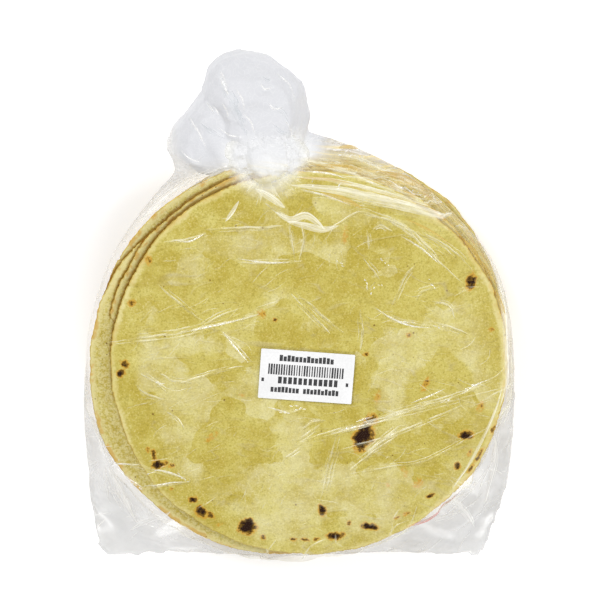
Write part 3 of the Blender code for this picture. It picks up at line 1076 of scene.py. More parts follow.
# Where the film clings (weight 1) or stands off (weight -1): x, y, half width, half depth in mm
CLING_ZONES = (
    (44, 67, 20, 9, 1), (67, 51, 18, 13, 1), (34, 35, 28, 12, 1), (11, 36, 20, 12, 1),
    (-40, 84, 20, 8, 1), (-35, 35, 16, 6, 1), (-4, 15, 24, 7, 1), (52, -42, 28, 7, 1),
    (-48, -43, 17, 17, 1), (-55, 0, 16, 5, 1), (21, -7, 14, 22, 1), (-12, 48, 12, 8, 1),
    (67, -7, 14, 14, 1), (-65, 35, 12, 8, 1), (-81, 1, 10, 8, -1), (-69, -26, 10, 14, -1),
    (-86, 40, 8, 14, -1), (-65, -55, 12, 8, -1), (-35, -79, 14, 8, -1), (42, -68, 24, 10, -1),
    (73, -60, 14, 10, -1), (83, 19, 8, 18, -1), (62, 11, 16, 8, -1), (-24, 63, 22, 6, -1),
    (-45, 51, 18, 10, 0.3), (-4, -76, 16, 8, -1), (-55, 11, 14, 5, -1), (11, 59, 8, 5, -1),
)

# Broad folds of doubled film: half width in mm, then the line it follows
FOLDS = (
    (2.7, (-9, 95), (15, 92), (28, 89), (41, 86), (56, 82), (70, 77), (80, 73), (92, 61)),
    (1.0, (-8, 99), (14, 97), (38, 91), (60, 84)), (1.8, (-11, 76), (-2, 74), (7, 72), (15, 74)),
    (1.8, (-27, 93), (-20, 89), (-12, 83)), (1.0, (-35, 87), (-38, 82), (-42, 76)),
    (1.1, (-88, 72), (-78, 81), (-68, 89), (-58, 96)),
    (1.3, (94, 55), (98, 35), (100, 14), (101, -7), (98, -20)),
    (0.8, (99, -10), (94, -27), (84, -49), (74, -65)),
    (1.9, (-17, 81), (-9, 77), (-1, 79), (8, 72)), (2.6, (-106, -62), (-99, -79), (-92, -98)),
    (2.2, (-72, -78), (-83, -89), (-97, -103)), (2.4, (72, -74), (84, -88), (90, -101)),
    (1.8, (98, -44), (99, -62), (94, -84)),
)

# Where the pleats from the knot run: their lower and their upper limit
PLEATS_LOW = ((-6, 100), (15, 96), (35, 89), (61, 80), (77, 74), (91, 61))
PLEATS_HIGH = ((-9, 118), (12, 115), (36, 107), (60, 93), (80, 72), (93, 50))

# Sharp creases in the film, as lines in mm
CREASES = (
    ((-35, 73), (-24, 73), (-13, 74)), ((-73, 66), (-62, 67), (-52, 70)),
    ((-52, 72), (-35, 73), (-18, 73)), ((-36, 55), (-19, 55), (-3, 56)),
    ((-10, 76), (-9, 67), (-7, 55)), ((-4, 76), (-3, 67), (-5, 56)),
    ((8, 71), (16, 76), (25, 81), (36, 78), (43, 75), (55, 66), (65, 56), (78, 44)),
    ((27, 80), (43, 76), (57, 66), (67, 55)), ((27, 57), (32, 51), (36, 46)),
    ((29, 72), (30, 67), (30, 62)), ((54, 54), (48, 47), (42, 32)),
    ((33, 32), (40, 27), (48, 24), (63, 22)), ((64, 24), (73, 21), (81, 18)),
    ((-7, 40), (6, 28), (18, 18)), ((-9, 39), (2, 27), (11, 18)),
    ((-35, 25), (-30, 27), (-25, 28)), ((26, 31), (27, 19), (26, 9)),
    ((-101, 14), (-86, 16), (-69, 18), (-50, 22), (-28, 27)), ((-99, 13), (-69, 16), (-48, 21)),
    ((-50, 22), (-43, 18), (-31, 13), (-26, 1)), ((-44, 19), (-36, 11), (-29, 3)),
    ((-77, 44), (-60, 29), (-54, 25)), ((-60, 18), (-46, 27), (-33, 32)),
    ((-66, -8), (-46, -2), (-33, 1)), ((24, -31), (47, -23), (73, -16), (93, -7)),
    ((7, -37), (27, -31), (57, -20), (83, -11)), ((11, -35), (22, -32), (43, -27)),
    ((-4, -39), (21, -31), (57, -22), (101, -10)), ((16, -44), (47, -34), (83, -18)),
    ((26, -51), (39, -39), (52, -31)), ((28, -47), (41, -36), (48, -30)),
    ((21, -55), (33, -45), (46, -36)), ((14, -37), (10, -52), (6, -71)),
    ((16, -37), (12, -52), (8, -71)), ((21, -57), (42, -53), (62, -49), (93, -31)),
    ((-102, -55), (-100, -53), (-89, -52), (-81, -54), (-63, -59)),
    ((-63, -59), (-62, -61), (-76, -62), (-87, -65)), ((-87, -65), (-96, -59), (-100, -55)),
    ((-102, -56), (-99, -65), (-96, -76)), ((-104, -53), (-107, -44), (-111, -35)),
    ((-99, -94), (-90, -94), (-83, -97)), ((-106, -71), (-101, -81), (-92, -92)),
    ((-109, -60), (-108, -73), (-106, -86)), ((-81, -81), (-68, -86), (-53, -94)),
    ((-111, -39), (-110, -49), (-108, -60)), ((-97, -59), (-88, -71), (-76, -81)),
    ((90, -68), (83, -73), (75, -81)), ((98, -60), (87, -71), (67, -79)),
    ((93, -76), (83, -84), (67, -92)), ((101, -39), (98, -55), (92, -71)),
    ((-81, -5), (-77, -8), (-73, -11)), ((-86, -3), (-80, -7), (-73, -13)),
    ((-89, -9), (-81, -15), (-73, -17)), ((-76, -3), (-69, -7), (-60, -8)),
    ((-16, -23), (-10, -24), (-4, -22)), ((-19, -19), (-24, -17), (-30, -20)),
    ((-73, -23), (-68, -27), (-64, -33)), ((-4, -33), (2, -29), (9, -28)),
    ((-9, -39), (-3, -37), (6, -30)), ((-12, -48), (-6, -44), (-4, -42)),
    ((-4, 105), (19, 101), (52, 99)), ((16, 113), (34, 109), (60, 94)),
    ((11, 96), (37, 92), (67, 82), (88, 67)), ((-4, 92), (16, 88), (42, 83)),
    ((57, 71), (73, 61), (83, 51)), ((47, 73), (62, 67), (74, 58)),
    ((-49, 103), (-62, 96), (-76, 85)), ((-44, 101), (-54, 96), (-66, 88)),
    ((-61, 100), (-73, 91), (-85, 78)), ((-39, 105), (-50, 101), (-63, 96)),
    ((96, 62), (101, 40), (104, 19)), ((103, 9), (104, -18), (102, -39)),
    ((-9, 76), (-15, 80), (-22, 86)), ((32, 72), (36, 74), (42, 71)),
    ((67, 43), (57, 40), (54, 35)), ((62, 35), (70, 33), (74, 26)),
)

# A thin reddish streak in the film: half width, then the line
RED_STREAKS = (
    (0.8, (50, -86), (56, -84), (62, -82), (68, -78)),
    (0.5, (55, -85), (64, -82), (73, -75), (80, -67)),
)

# Golden strips, where the film clings to the baked edges of tortillas: half width, then the line
GOLDEN_STRIPS = (
    (1.5, (3, 104.3), (15, 103.5), (27, 101.5)), (1.8, (15, 111), (28, 108.8), (42, 104)),
    (2.1, (34, 100.5), (48, 95), (61, 88)), (1.5, (6, 91), (17, 87.5), (27, 83)),
    (0.9, (-6, 98.5), (8, 98), (22, 95.5)), (1.1, (58, 89), (68, 83), (78, 73)),
    (1.2, (78, 67), (83, 61), (87, 54)), (1.1, (86, 57), (90, 51), (93, 45)),
    (0.9, (94, 42), (98, 32), (100.5, 21)), (0.8, (48, 78), (60, 72), (72, 64)),
)

# Painted highlights: bright white strips along creases that catch the light along their length
BRIGHT_CREASES = (
    ((-104, -56), (-99, -53), (-89, -52)), ((-81, -54), (-72, -56), (-63, -60)),
    ((-99, -56), (-93, -61), (-86, -66)), ((-83, -64), (-74, -62), (-65, -61)),
    ((-109, -60), (-106, -75), (-100, -90)), ((-5, 93), (8, 89.5), (22, 84)),
    ((34, 99), (42, 95), (52, 90), (58, 87)), ((-6, 102), (8, 101), (20, 98)),
    ((12, 110), (17, 110)), ((22, 109.5), (27, 108.5)), ((28, 97), (35, 95)),
    ((33, 32), (42, 26), (52, 22), (63, 21)), ((-21, -21), (-16, -22.5), (-10, -24)),
    ((46, 69), (57, 62), (66, 54)), ((24, -29), (33, -26)), ((52, -19), (62, -15), (70, -11)),
    ((78, -14), (86, -9), (92, -6)), ((-69, 67), (-60, 66), (-52, 70)), ((-36, 57), (-22, 55), (-9, 55)),
    ((-44, 19), (-37, 10), (-31, 3)), ((-62, 19), (-48, 22), (-32, 26)), ((88, -70), (80, -80), (70, -88)),
    ((100, -52), (95, -66), (90, -76)),
)

# Painted glints, short bright white strips where a crease turns to the light: x, y, length in mm, turn in
# degrees
GLINTS = (
    (29, 44, 4, 120), (32, 41, 4, 60), (36, 44, 3, 130), (16, 55, 4, 140), (38, 55, 4, 130),
    (-77, -8, 5, 155), (-12, -24, 4, 0), (-8, -20, 5, 175), (49, 24, 7, 170), (66, 22, 4, 160),
    (62, 44, 4, 120), (-4, -22, 4, 20), (28, -31, 4, 20), (71, -17, 6, 30), (83, -10, 6, 25),
    (22, -32, 4, 15), (-89, -65, 6, 150), (-100, -53, 6, 60), (-81, -55, 4, 30), (-65, -59, 7, 150),
    (-92, -95, 7, 20), (-86, -96, 5, 150), (24, 106.5, 10, 175), (33, 102.5, 9, 170), (44, 97.5, 9, 160),
    (19, 108.5, 7, 10), (55, 89, 8, 150), (65, 83.5, 7, 145), (6, 101, 7, 0), (-4, 104, 6, 170),
    (78, 70, 8, 140), (88, 62, 7, 130), (16, 95, 5, 60), (2, 97, 5, 90), (85, -84, 8, 35),
)


def merged_copy(node, name):
    """A copy of a node's mesh with its loose triangles joined."""
    shape = bmesh.new()
    shape.from_mesh(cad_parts[node].data)
    bmesh.ops.remove_doubles(shape, verts=shape.verts, dist=1e-5)
    return piece_from_shape(name, shape)


def remesh(piece, cell, stretch):
    """Gives a piece an even mesh. Its height is stretched meanwhile, so that thin edges survive."""
    tall = np.array([1.0, 1.0, stretch])
    set_points(piece.data, points_of(piece.data) * tall)
    finer = piece.modifiers.new("remesh", "REMESH")
    finer.mode = "VOXEL"
    finer.voxel_size = cell
    bake_modifiers(piece)
    set_points(piece.data, points_of(piece.data) / tall)


def scaled(mesh, factor):
    set_points(mesh, points_of(mesh) * factor)


def add_obstacle(name, centre, radius, low, high):
    """A disc that the film lies on during the simulation."""
    shape = bmesh.new()
    bmesh.ops.create_cone(
        shape, cap_ends=True, segments=96, radius1=radius, radius2=radius, depth=high - low
    )
    bmesh.ops.translate(shape, verts=shape.verts, vec=(*centre, (high + low) / 2))
    bmesh.ops.scale(shape, verts=shape.verts, vec=(SIM_SCALE,) * 3)
    obstacle = piece_from_shape(name, shape)
    obstacle.modifiers.new("collision", "COLLISION")
    obstacle.collision.thickness_outer = 0.004
    obstacle.collision.cloth_friction = 5.0
    return obstacle


def in_tail(points):
    """1 in the knotted tail, fading to 0 on the pack."""
    from_knot = np.hypot(points[:, 0] + 30 * MM, points[:, 1] - 124 * MM)
    past = smooth_step(TAIL_FROM - 4 * MM, TAIL_FROM + 8 * MM, points[:, 1])
    near_knot = knot_distance(points)
    lobes = past * (1 - smooth_step(32 * MM, 46 * MM, from_knot))
    return np.maximum(lobes, 1 - smooth_step(12 * MM, 24 * MM, near_knot))


def edge_points(points, width):
    """The points within this distance of the pack's outline, apart from the tail."""
    reach = reach_of(points)
    tail = in_tail(points) > 0.75
    sector = ((turn_of(points) + math.pi) / math.radians(3)).astype(int)
    outermost = np.zeros(sector.max() + 1)
    np.maximum.at(outermost, sector[~tail], reach[~tail])
    return (reach > outermost[sector] - width) & ~tail


def held_points(points):
    """Film that can't move: under the pile, along the loose outer edge, and in the tail."""
    reach = reach_of(points)
    under = (points[:, 2] < 0.6 * MM) & (reach < 100 * MM)
    return np.flatnonzero(under | (in_tail(points) > 0.75) | edge_points(points, 3.4 * MM))


def settle_film(piece, film, pile):
    """Wrinkles the film: it has spare width, and it shrinks back on to the pile."""
    start = points_of(piece.data)
    obstacles = [
        add_obstacle("pile_form", (0, 0), pile.radius, 1.2 * MM, PILE_TOP),
        add_obstacle(
            "second_form", UPPER_TORTILLAS[3][:2], pile.radius * 0.99, PILE_TOP - 8 * MM,
            PILE_TOP - 6.4 * MM,
        ),
        add_obstacle("floor_form", (0, 0), 0.3, -3 * MM, -0.5 * MM),
    ]
    reach = reach_of(start)
    scaled(piece.data, SIM_SCALE)
    held = piece.vertex_groups.new(name="held")
    held.add([int(index) for index in held_points(start)], 1.0, "REPLACE")
    taut = piece.vertex_groups.new(name="taut")
    over_pile = np.flatnonzero((reach < 92 * MM) & (start[:, 2] > PILE_TOP - 4 * MM))
    taut.add([int(index) for index in over_pile], 1.0, "REPLACE")
    cloth = piece.modifiers.new("cloth", "CLOTH")
    stuff = cloth.settings
    stuff.quality = 5
    stuff.mass = 0.3
    stuff.tension_stiffness = 30
    stuff.compression_stiffness = 30
    stuff.shear_stiffness = 18
    stuff.bending_stiffness = 0.1
    stuff.tension_damping = stuff.compression_damping = stuff.shear_damping = 5
    stuff.vertex_group_mass = "held"
    stuff.vertex_group_shrink = "taut"
    stuff.shrink_min = -film.spare
    stuff.shrink_max = -0.015
    stuff.use_pressure = True
    stuff.uniform_pressure_force = -0.2
    stuff.effector_weights.gravity = 0.3
    touch = cloth.collision_settings
    touch.distance_min = 0.008
    touch.collision_quality = 3
    cloth.point_cache.frame_start = 1
    cloth.point_cache.frame_end = film.steps + 1
    scene = bpy.context.scene
    for step in range(1, film.steps + 1):
        scene.frame_set(step)
    mesh = evaluated_mesh(piece)
    piece.modifiers.clear()
    piece.vertex_groups.clear()
    piece.data = mesh
    scaled(mesh, 1 / SIM_SCALE)
    for obstacle in obstacles:
        remove_piece(obstacle)
    scene.frame_set(1)
    limit_travel(mesh, start, 13 * MM)


def limit_travel(mesh, start, most):
    points = points_of(mesh)
    travel = points - start
    length = np.linalg.norm(travel, axis=1, keepdims=True)
    points = start + travel * np.minimum(1.0, most / np.maximum(length, 1e-9))
    points[:, 2] = np.maximum(points[:, 2], 0.0)
    set_points(mesh, points)


def cling_bias(points):
    """How strongly each place pulls the film close (up to 1) or leaves it loose (down to -1)."""
    place = points[:, :2] / MM
    bias = np.zeros(len(points))
    for x, y, half_width, half_depth, weight in CLING_ZONES:
        away = ((place[:, 0] - x) / half_width) ** 2 + ((place[:, 1] - y) / half_depth) ** 2
        bias += weight * np.exp(-away)
    return np.clip(bias, -1.0, 1.0)


def press_on_pile(points):
    """Draws the film close over the front tortilla, and flat under the label."""
    reach = reach_of(points)
    share = 1 - smooth_step(86 * MM, 99 * MM, reach)
    share = np.where(points[:, 2] > PILE_TOP - 4 * MM, share, 0.0)
    height = points[:, 2] - PILE_TOP
    close = 0.35 * MM + 0.5 * np.clip(height - 0.9 * MM, -0.4 * MM, 2.2 * MM)
    points[:, 2] = np.where(share > 0, PILE_TOP + height * (1 - share) + close * share, points[:, 2])
    margin = 3 * MM
    near_label = (points[:, 0] > LABEL_LOW.x - margin) & (points[:, 0] < LABEL_HIGH.x + margin)
    near_label &= (points[:, 1] > LABEL_LOW.y - margin) & (points[:, 1] < LABEL_HIGH.y + margin)
    near_label &= points[:, 2] > PILE_TOP - 4 * MM
    points[near_label, 2] = np.minimum(points[near_label, 2], LABEL_LOW.z - 0.2 * MM)


def facet_height(points, size, seed):
    """Crumpled relief from -0.5 to 0.5: flat facets that meet in sharp ridges, of about this size."""
    shift = Vector((seed * 3.7, seed * 8.1, seed * 5.3))
    values = []
    for point in points:
        place = Vector(point) / size + shift
        near = noise.voronoi(place + 0.35 * noise.noise_vector(place))[0]
        values.append(min(near[1] - near[0], 1.0) - 0.5)
    return -np.array(values)


def crumple_tail(mesh):
    """Draws the tail back to the corners of the bag's solid, and crumples it, most at the knot."""
    points = points_of(mesh)
    share = in_tail(points)
    chosen = np.flatnonzero(share > 0.02)
    corners = film_surface(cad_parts["bag"].data)
    for index in chosen:
        place = Vector(points[index])
        nearest = corners.find_nearest(place)[0]
        points[index] = place.lerp(nearest, float(share[index]))
    set_points(mesh, points)
    normals = normals_of(mesh)[chosen]
    to_knot = knot_distance(points[chosen])
    knotted = 1 - smooth_step(14 * MM, 30 * MM, to_knot)
    depth = facet_height(points[chosen], 15 * MM, 1) * 1.3 * MM
    depth += facet_height(points[chosen], 6.0 * MM, 2) * (0.35 + 1.4 * knotted) * MM
    points[chosen] += normals * (depth * share[chosen])[:, None]
    set_points(mesh, points)


def pile_outline(points):
    """How far out the tortillas reach in the direction of each point."""
    angle = turn_of(points)
    furthest = np.zeros(len(points))
    for x, y, share, _ in UPPER_TORTILLAS:
        along = x * np.cos(angle) + y * np.sin(angle)
        radius = share * TORTILLA_RADIUS
        edge = along + np.sqrt(radius**2 - x**2 - y**2 + along**2)
        furthest = np.maximum(furthest, edge)
    return furthest


def open_share(points):
    """1 where the film has no tortilla behind it, 0 over the pile."""
    reach = reach_of(points)
    wave = noise_at(points, 14 * MM, 6.0) * 1.6 * MM
    spread = smooth_step(0.0, 7 * MM, reach - pile_outline(points) + wave)
    near_floor = smooth_step(97 * MM, 103 * MM, reach)
    return np.where(points[:, 2] < 4 * MM, np.maximum(spread, near_floor), spread)


def soften_open_film(piece):
    """Leaves only broad folds where the film hangs free."""
    points = points_of(piece.data)
    share = open_share(points) * (1 - in_tail(points)) * ~edge_points(points, 3.4 * MM)
    group = piece.vertex_groups.new(name="open")
    for level in range(1, SOFTENING_LEVELS + 1):
        chosen = np.flatnonzero(np.round(share * SOFTENING_LEVELS) == level)
        group.add([int(index) for index in chosen], level / SOFTENING_LEVELS, "REPLACE")
    soft = piece.modifiers.new("soft", "SMOOTH")
    soft.factor = 0.5
    soft.iterations = 16
    soft.vertex_group = group.name
    bake_modifiers(piece)
    piece.vertex_groups.clear()


def clear_share(points):
    """1 where the film lies clear over the rims: all along the left, and in part over the right."""
    reach = reach_of(points)
    turn = np.mod(turn_of(points), 2 * math.pi)
    left = smooth_step(*RIMS_LEFT[0], turn) * (1 - smooth_step(*RIMS_LEFT[1], turn))
    right = 0.6 * (1 - smooth_step(*RIMS_LEFT[0], turn))
    return smooth_step(84 * MM, 90 * MM, reach) * np.maximum(left, right) * (1 - open_share(points))


def knot_share(points):
    """1 in the knot, which is wider than it is high, and 0 away from it."""
    aside = (points - np.array(KNOT)) / (1.35, 1.0, 1.0)
    return 1 - smooth_step(11 * MM, 24 * MM, np.linalg.norm(aside, axis=1))


def film_values(mesh):
    """The values that the film's material reads at each point, from 0 to 1."""
    points = points_of(mesh)
    reach = reach_of(points)
    wave = noise_at(points, 14 * MM, 6.0) * 4 * MM
    on_face = (reach < 99 * MM) & (points[:, 2] > PILE_TOP - 2 * MM)
    loose = np.where(on_face, smooth_step(88 * MM, 99 * MM, reach + wave), 1.0)
    to_knot = knot_distance(points)
    tail = in_tail(points)
    gathered = np.maximum(1 - smooth_step(13 * MM, 25 * MM, to_knot), tail)
    upward = np.abs(normals_of(mesh)[:, 2])
    # steep: where the film slopes over the front tortilla, which the material whitens as a painted sheen
    steep = np.where(on_face, smooth_step(0.004, 0.05, 1 - upward), 0.0) * (1 - loose)
    slant = points[:, 0] * math.cos(PLEAT_ANGLE) + points[:, 1] * math.sin(PLEAT_ANGLE)
    shoulder = smooth_step(88 * MM, 97 * MM, slant + wave)
    shoulder *= smooth_step(-24 * MM, -6 * MM, points[:, 0])
    shoulder *= 1 - 0.6 * smooth_step(45 * MM, 85 * MM, points[:, 0])
    near = 0.4 * (1 - smooth_step(16 * MM, 28 * MM, to_knot))
    toasted = np.where(on_face, smooth_step(0.25, 0.55, toast_values(points)), 0.0)
    return {
        "loose": loose, "gathered": gathered, "open": open_share(points), "steep": steep,
        "pleat": np.maximum(shoulder, near) * (1 - tail), "knot": knot_share(points),
        "bare": np.maximum(toasted, clear_share(points)),
    }


def normals_of(mesh):
    flat = np.empty(len(mesh.vertices) * 3)
    mesh.vertices.foreach_get("normal", flat)
    return flat.reshape(-1, 3)


def flatten_base(mesh):
    """Makes one face of the film under the pile, which is flat and never seen."""
    shape = bmesh.new()
    shape.from_mesh(mesh)
    under = [
        face for face in shape.faces
        if face.normal.z < -0.9 and face.calc_center_median().z < 0.5 * MM
        and face.calc_center_median().xy.length < 92 * MM
    ]
    bmesh.ops.dissolve_faces(shape, faces=under)
    shape.to_mesh(mesh)
    shape.free()


def make_film(film, pile):
    piece = merged_copy("bag", "film")
    remesh(piece, film.cell, THIN_EDGE_STRETCH)
    settle_film(piece, film, pile)
    soften_open_film(piece)
    finer = piece.modifiers.new("finer", "SUBSURF")
    finer.levels = finer.render_levels = 1
    bake_modifiers(piece)
    mesh = piece.data
    flatten_base(mesh)
    crumple_tail(mesh)
    points = points_of(mesh)
    press_on_pile(points)
    set_points(mesh, points)
    for name, values in film_values(mesh).items():
        store_values(mesh, name, values)
    store_values(mesh, "bias", cling_bias(points))
    mesh.materials.clear()
    mesh.materials.append(film_material(film, "clear_film", film.milk))
    mesh.shade_smooth()
    return piece


# ---------------------------------------------------------------------------------------------
# Creases and folds


def smooth_line(corners, step):
    """Evenly spaced points along a smooth curve through the corners."""
    corners = [Vector(corner) for corner in corners]
    corners = [2 * corners[0] - corners[1], *corners, 2 * corners[-1] - corners[-2]]
    line = []
    for before, start, end, after in zip(corners, corners[1:], corners[2:], corners[3:]):
        count = max(2, round((end - start).length / step))
        for index in range(count):
            share = index / count
            line.append(0.5 * (
                2 * start + (end - before) * share
                + (2 * before - 5 * start + 4 * end - after) * share**2
                + (3 * start - before - 3 * end + after) * share**3
            ))
    return line + [corners[-2]]


STRAY_COUNT = 300
RAY_COUNT = 40
PLEAT_COUNT = 17


def film_surface(film_mesh):
    shape = bmesh.new()
    shape.from_mesh(film_mesh)
    surface = BVHTree.FromBMesh(shape)
    shape.free()
    return surface


def laid_on(surface, line, lift):
    """A flat line in mm laid on the film from above, in metres; points that miss it are left out."""
    laid = []
    for point in line:
        hit = surface.ray_cast(Vector((point.x * MM, point.y * MM, 0.2)), Vector((0, 0, -1)))[0]
        if hit is not None and hit.z > 1.5 * MM:
            laid.append(hit + Vector((0, 0, lift)))
    return laid


def under_label(line):
    margin = 1.5
    return any(
        LABEL_LOW.x / MM - margin < point.x < LABEL_HIGH.x / MM + margin
        and LABEL_LOW.y / MM - margin < point.y < LABEL_HIGH.y / MM + margin
        for point in line
    )


def stray_lines(seed):
    """Small wrinkles, as (half width in mm, corners): short over the front, long on loose film."""
    rng = np.random.default_rng(seed)
    lines = []
    while len(lines) < STRAY_COUNT:
        x, y = rng.uniform(-116, 108), rng.uniform(-116, 116)
        on_front = math.hypot(x, y) < 92
        turned = math.atan2(y, x) % (2 * math.pi)
        over_rims = turned < RIMS_LEFT[1][1] and math.hypot(x, y) < 112
        if not on_front and (over_rims or rng.random() > 0.5):
            continue
        turn = 0.35 + 1.5 * noise.noise(Vector((x, y, 5.0)) / 45.0) + rng.normal(0, 0.3)
        length = rng.uniform(3.0, 13.0) if on_front else rng.uniform(6.0, 22.0)
        width = rng.uniform(0.13, 0.30) if on_front else rng.uniform(0.25, 0.7)
        hook = rng.normal(0, 0.14)
        middle = Vector((x, y))
        first = Vector((math.cos(turn - hook), math.sin(turn - hook))) * length / 2
        last = Vector((math.cos(turn + hook), math.sin(turn + hook))) * length / 2
        lines.append((width, (middle - first, middle, middle + last)))
    return lines


def knot_rays(seed):
    """Short pleats that spread from the knot over the film nearest to it."""
    rng = np.random.default_rng(seed)
    middle = Vector((KNOT.x / MM, KNOT.y / MM))
    lines = []
    for _ in range(RAY_COUNT):
        turn = math.radians(rng.uniform(-165, 5))
        start, length, bend = rng.uniform(8, 13), rng.uniform(4, 10), rng.normal(0, 0.12)
        corners = []
        for share in (0.0, 0.5, 1.0):
            angle = turn + bend * share
            reach = start + length * share
            corners.append(middle + reach * Vector((math.cos(angle), math.sin(angle))))
        lines.append((rng.uniform(0.2, 0.5), corners))
    return lines


def shoulder_pleats(seed):
    """Long pleats that the knot draws over the right shoulder."""
    rng = np.random.default_rng(seed)
    low, high = np.array(PLEATS_LOW), np.array(PLEATS_HIGH)
    lines = []
    for _ in range(PLEAT_COUNT):
        level = rng.uniform(-0.05, 1.0)
        tilt = rng.normal(0, 0.12)
        along = np.linspace(0, 1, len(low))[:, None]
        route = low + (high - low) * (level + tilt * (along - 0.4))
        whole = smooth_line([tuple(point) for point in route], 3.0)
        start = rng.uniform(0.0, 0.45)
        end = min(1.0, start + rng.uniform(0.3, 0.75))
        part = whole[int(start * len(whole)): int(end * len(whole))]
        if len(part) > 3:
            lines.append((rng.uniform(0.2, 1.0) ** 1.5 * 1.3, part))
    return lines


def ribbon_tree():
    """Geometry Nodes: a thin tented strip along each line, tapering to both ends.

    Each point keeps how far along and across its strip it is, for the material.
    """
    tree, given, result = new_tree("film_ribbons", (("Ridge", FLOAT), ("Taper", FLOAT)))
    curve = output_of(tree, "GeometryNodeMeshToCurve", {"Mesh": given["Geometry"]})
    upright = output_of(tree, "GeometryNodeSetCurveNormal", {"Curve": curve}, mode="Z_UP")
    spline = tree.nodes.new("GeometryNodeSplineParameter").outputs
    upright = output_of(
        tree, "GeometryNodeStoreNamedAttribute",
        {"Geometry": upright, "Name": "along", "Value": spline["Length"]},
        data_type="FLOAT", domain="POINT",
    )
    width = add_node(
        tree, "GeometryNodeInputNamedAttribute", {"Name": "half_width"}, data_type="FLOAT"
    ).outputs["Attribute"]
    arch = math_node(tree, "SINE", times(tree, spline["Factor"], math.pi))
    swell = math_node(tree, "POWER", math_node(tree, "MAXIMUM", arch, 0.0), given["Taper"])
    radius = times(tree, width, math_node(tree, "MAXIMUM", swell, 0.05))
    line = output_of(
        tree, "GeometryNodeMeshLine",
        {"Count": 5, "Start Location": (-1.0, 0.0, 0.0), "Offset": (0.5, 0.0, 0.0)},
    )
    index = tree.nodes.new("GeometryNodeInputIndex").outputs[0]
    off_middle = math_node(tree, "ABSOLUTE", minus(tree, index, 2.0))
    height = minus(tree, 1.0, times(tree, off_middle, 0.5))
    height = times(tree, math_node(tree, "POWER", height, 1.5), given["Ridge"])
    lowered = minus(tree, 0.0, height)      # the profile's own Y points down
    raised = combine_node(tree, y=lowered)
    tent = output_of(tree, "GeometryNodeSetPosition", {"Geometry": line, "Offset": raised})
    tent = output_of(
        tree, "GeometryNodeStoreNamedAttribute",
        {"Geometry": tent, "Name": "across", "Value": times(tree, index, 0.25)},
        data_type="FLOAT", domain="POINT",
    )
    profile = output_of(tree, "GeometryNodeMeshToCurve", {"Mesh": tent})
    strip = output_of(
        tree, "GeometryNodeCurveToMesh", {"Curve": upright, "Profile Curve": profile, "Scale": radius}
    )
    finish_tree(tree, strip, given["Material"], result)
    return tree


def make_ribbons(name, tree, lines, taper, ridge, material):
    """Strips of film laid along lines given as (half width in metres, points in metres)."""
    points, edges, widths = [], [], []
    for half_width, line in lines:
        start = len(points)
        points += [tuple(point) for point in line]
        widths += [half_width] * len(line)
        edges += [(start + step, start + step + 1) for step in range(len(line) - 1)]
    mesh = bpy.data.meshes.new(name)
    mesh.from_pydata(points, edges, [])
    store_values(mesh, "half_width", widths)
    piece = add_piece(name, mesh)
    run_tree(piece, tree, {"Ridge": ridge, "Taper": taper, "Material": material})
    face_up(piece.data)
    piece.data.shade_smooth()
    return piece


def face_up(mesh):
    """Turns faces that look down, so that every strip faces away from the pack."""
    shape = bmesh.new()
    shape.from_mesh(mesh)
    low = [face for face in shape.faces if face.normal.z < 0]
    bmesh.ops.reverse_faces(shape, faces=low)
    shape.to_mesh(mesh)
    shape.free()


def crease_lines(surface, seed):
    lines = []
    rng = np.random.default_rng(seed)
    for index, corners in enumerate(CREASES):
        line = smooth_line(corners, 0.9)
        for shift, width in ((0.0, 1.0), (rng.uniform(1.0, 1.9), 0.55)):
            run = line if shift == 0 else line[len(line) // 5: -len(line) // 6]
            along = (line[-1] - line[0]).normalized()
            aside = Vector((-along.y, along.x)) * shift * rng.choice((-1, 1))
            wiggled = []
            for point in run:
                sway = noise.noise(Vector((point.x, point.y, index)) / 5.0) * 0.4
                wiggled.append(point + aside + Vector((sway, sway)))
            laid = laid_on(surface, wiggled, 0.05 * MM)
            if len(laid) > 3 and not under_label(wiggled):
                lines.append((width * rng.uniform(0.42, 0.85) * MM, laid))
    for half_width, corners in stray_lines(seed) + knot_rays(seed + 1) + shoulder_pleats(seed + 2):
        line = smooth_line(corners, 0.9)
        laid = laid_on(surface, line, 0.05 * MM)
        if len(laid) > 3 and not under_label(line):
            lines.append((half_width * MM, laid))
    return lines


def fold_lines(surface):
    lines = []
    for half_width, *corners in FOLDS:
        laid = laid_on(surface, smooth_line(corners, 1.2), 0.15 * MM)
        lines.append((half_width * MM, laid))
    return lines


def shade_lines(surface):
    """The thin shade beside each sharp crease on the front."""
    lines = []
    for index, corners in enumerate(CREASES):
        shifted = []
        for point in smooth_line(corners, 0.9):
            sway = noise.noise(Vector((point.x, point.y, index)) / 5.0) * 0.4
            shifted.append(point + Vector((sway + 0.45, sway - 0.75)))
        laid = [point for point in laid_on(surface, shifted, 0.04 * MM) if point.xy.length < 98 * MM]
        if len(laid) > 3 and not under_label(shifted):
            lines.append((0.42 * MM, laid))
    return lines


def glint_lines(surface, seed):
    """Each painted glint is a few short bright white strips, one after another; each bright crease is one
    painted highlight along it.
    """
    lines = []
    rng = np.random.default_rng(seed)
    for x, y, length, turn in GLINTS:
        for start in np.arange(-length / 2, length / 2, 1.9):
            angle = math.radians(turn + rng.normal(0, 14))
            half = Vector((math.cos(angle), math.sin(angle))) * rng.uniform(0.5, 1.3)
            aim = Vector((math.cos(math.radians(turn)), math.sin(math.radians(turn))))
            middle = Vector((x, y)) + aim * start + Vector(rng.normal(0, 0.35, 2))
            line = smooth_line((middle - half, middle, middle + half), 0.6)
            laid = laid_on(surface, line, 0.2 * MM)
            if len(laid) > 3:
                lines.append((rng.uniform(0.25, 0.55) * MM, laid))
    for corners in BRIGHT_CREASES:
        lines.append((0.50 * MM, laid_on(surface, smooth_line(corners, 0.7), 0.2 * MM)))
    return lines
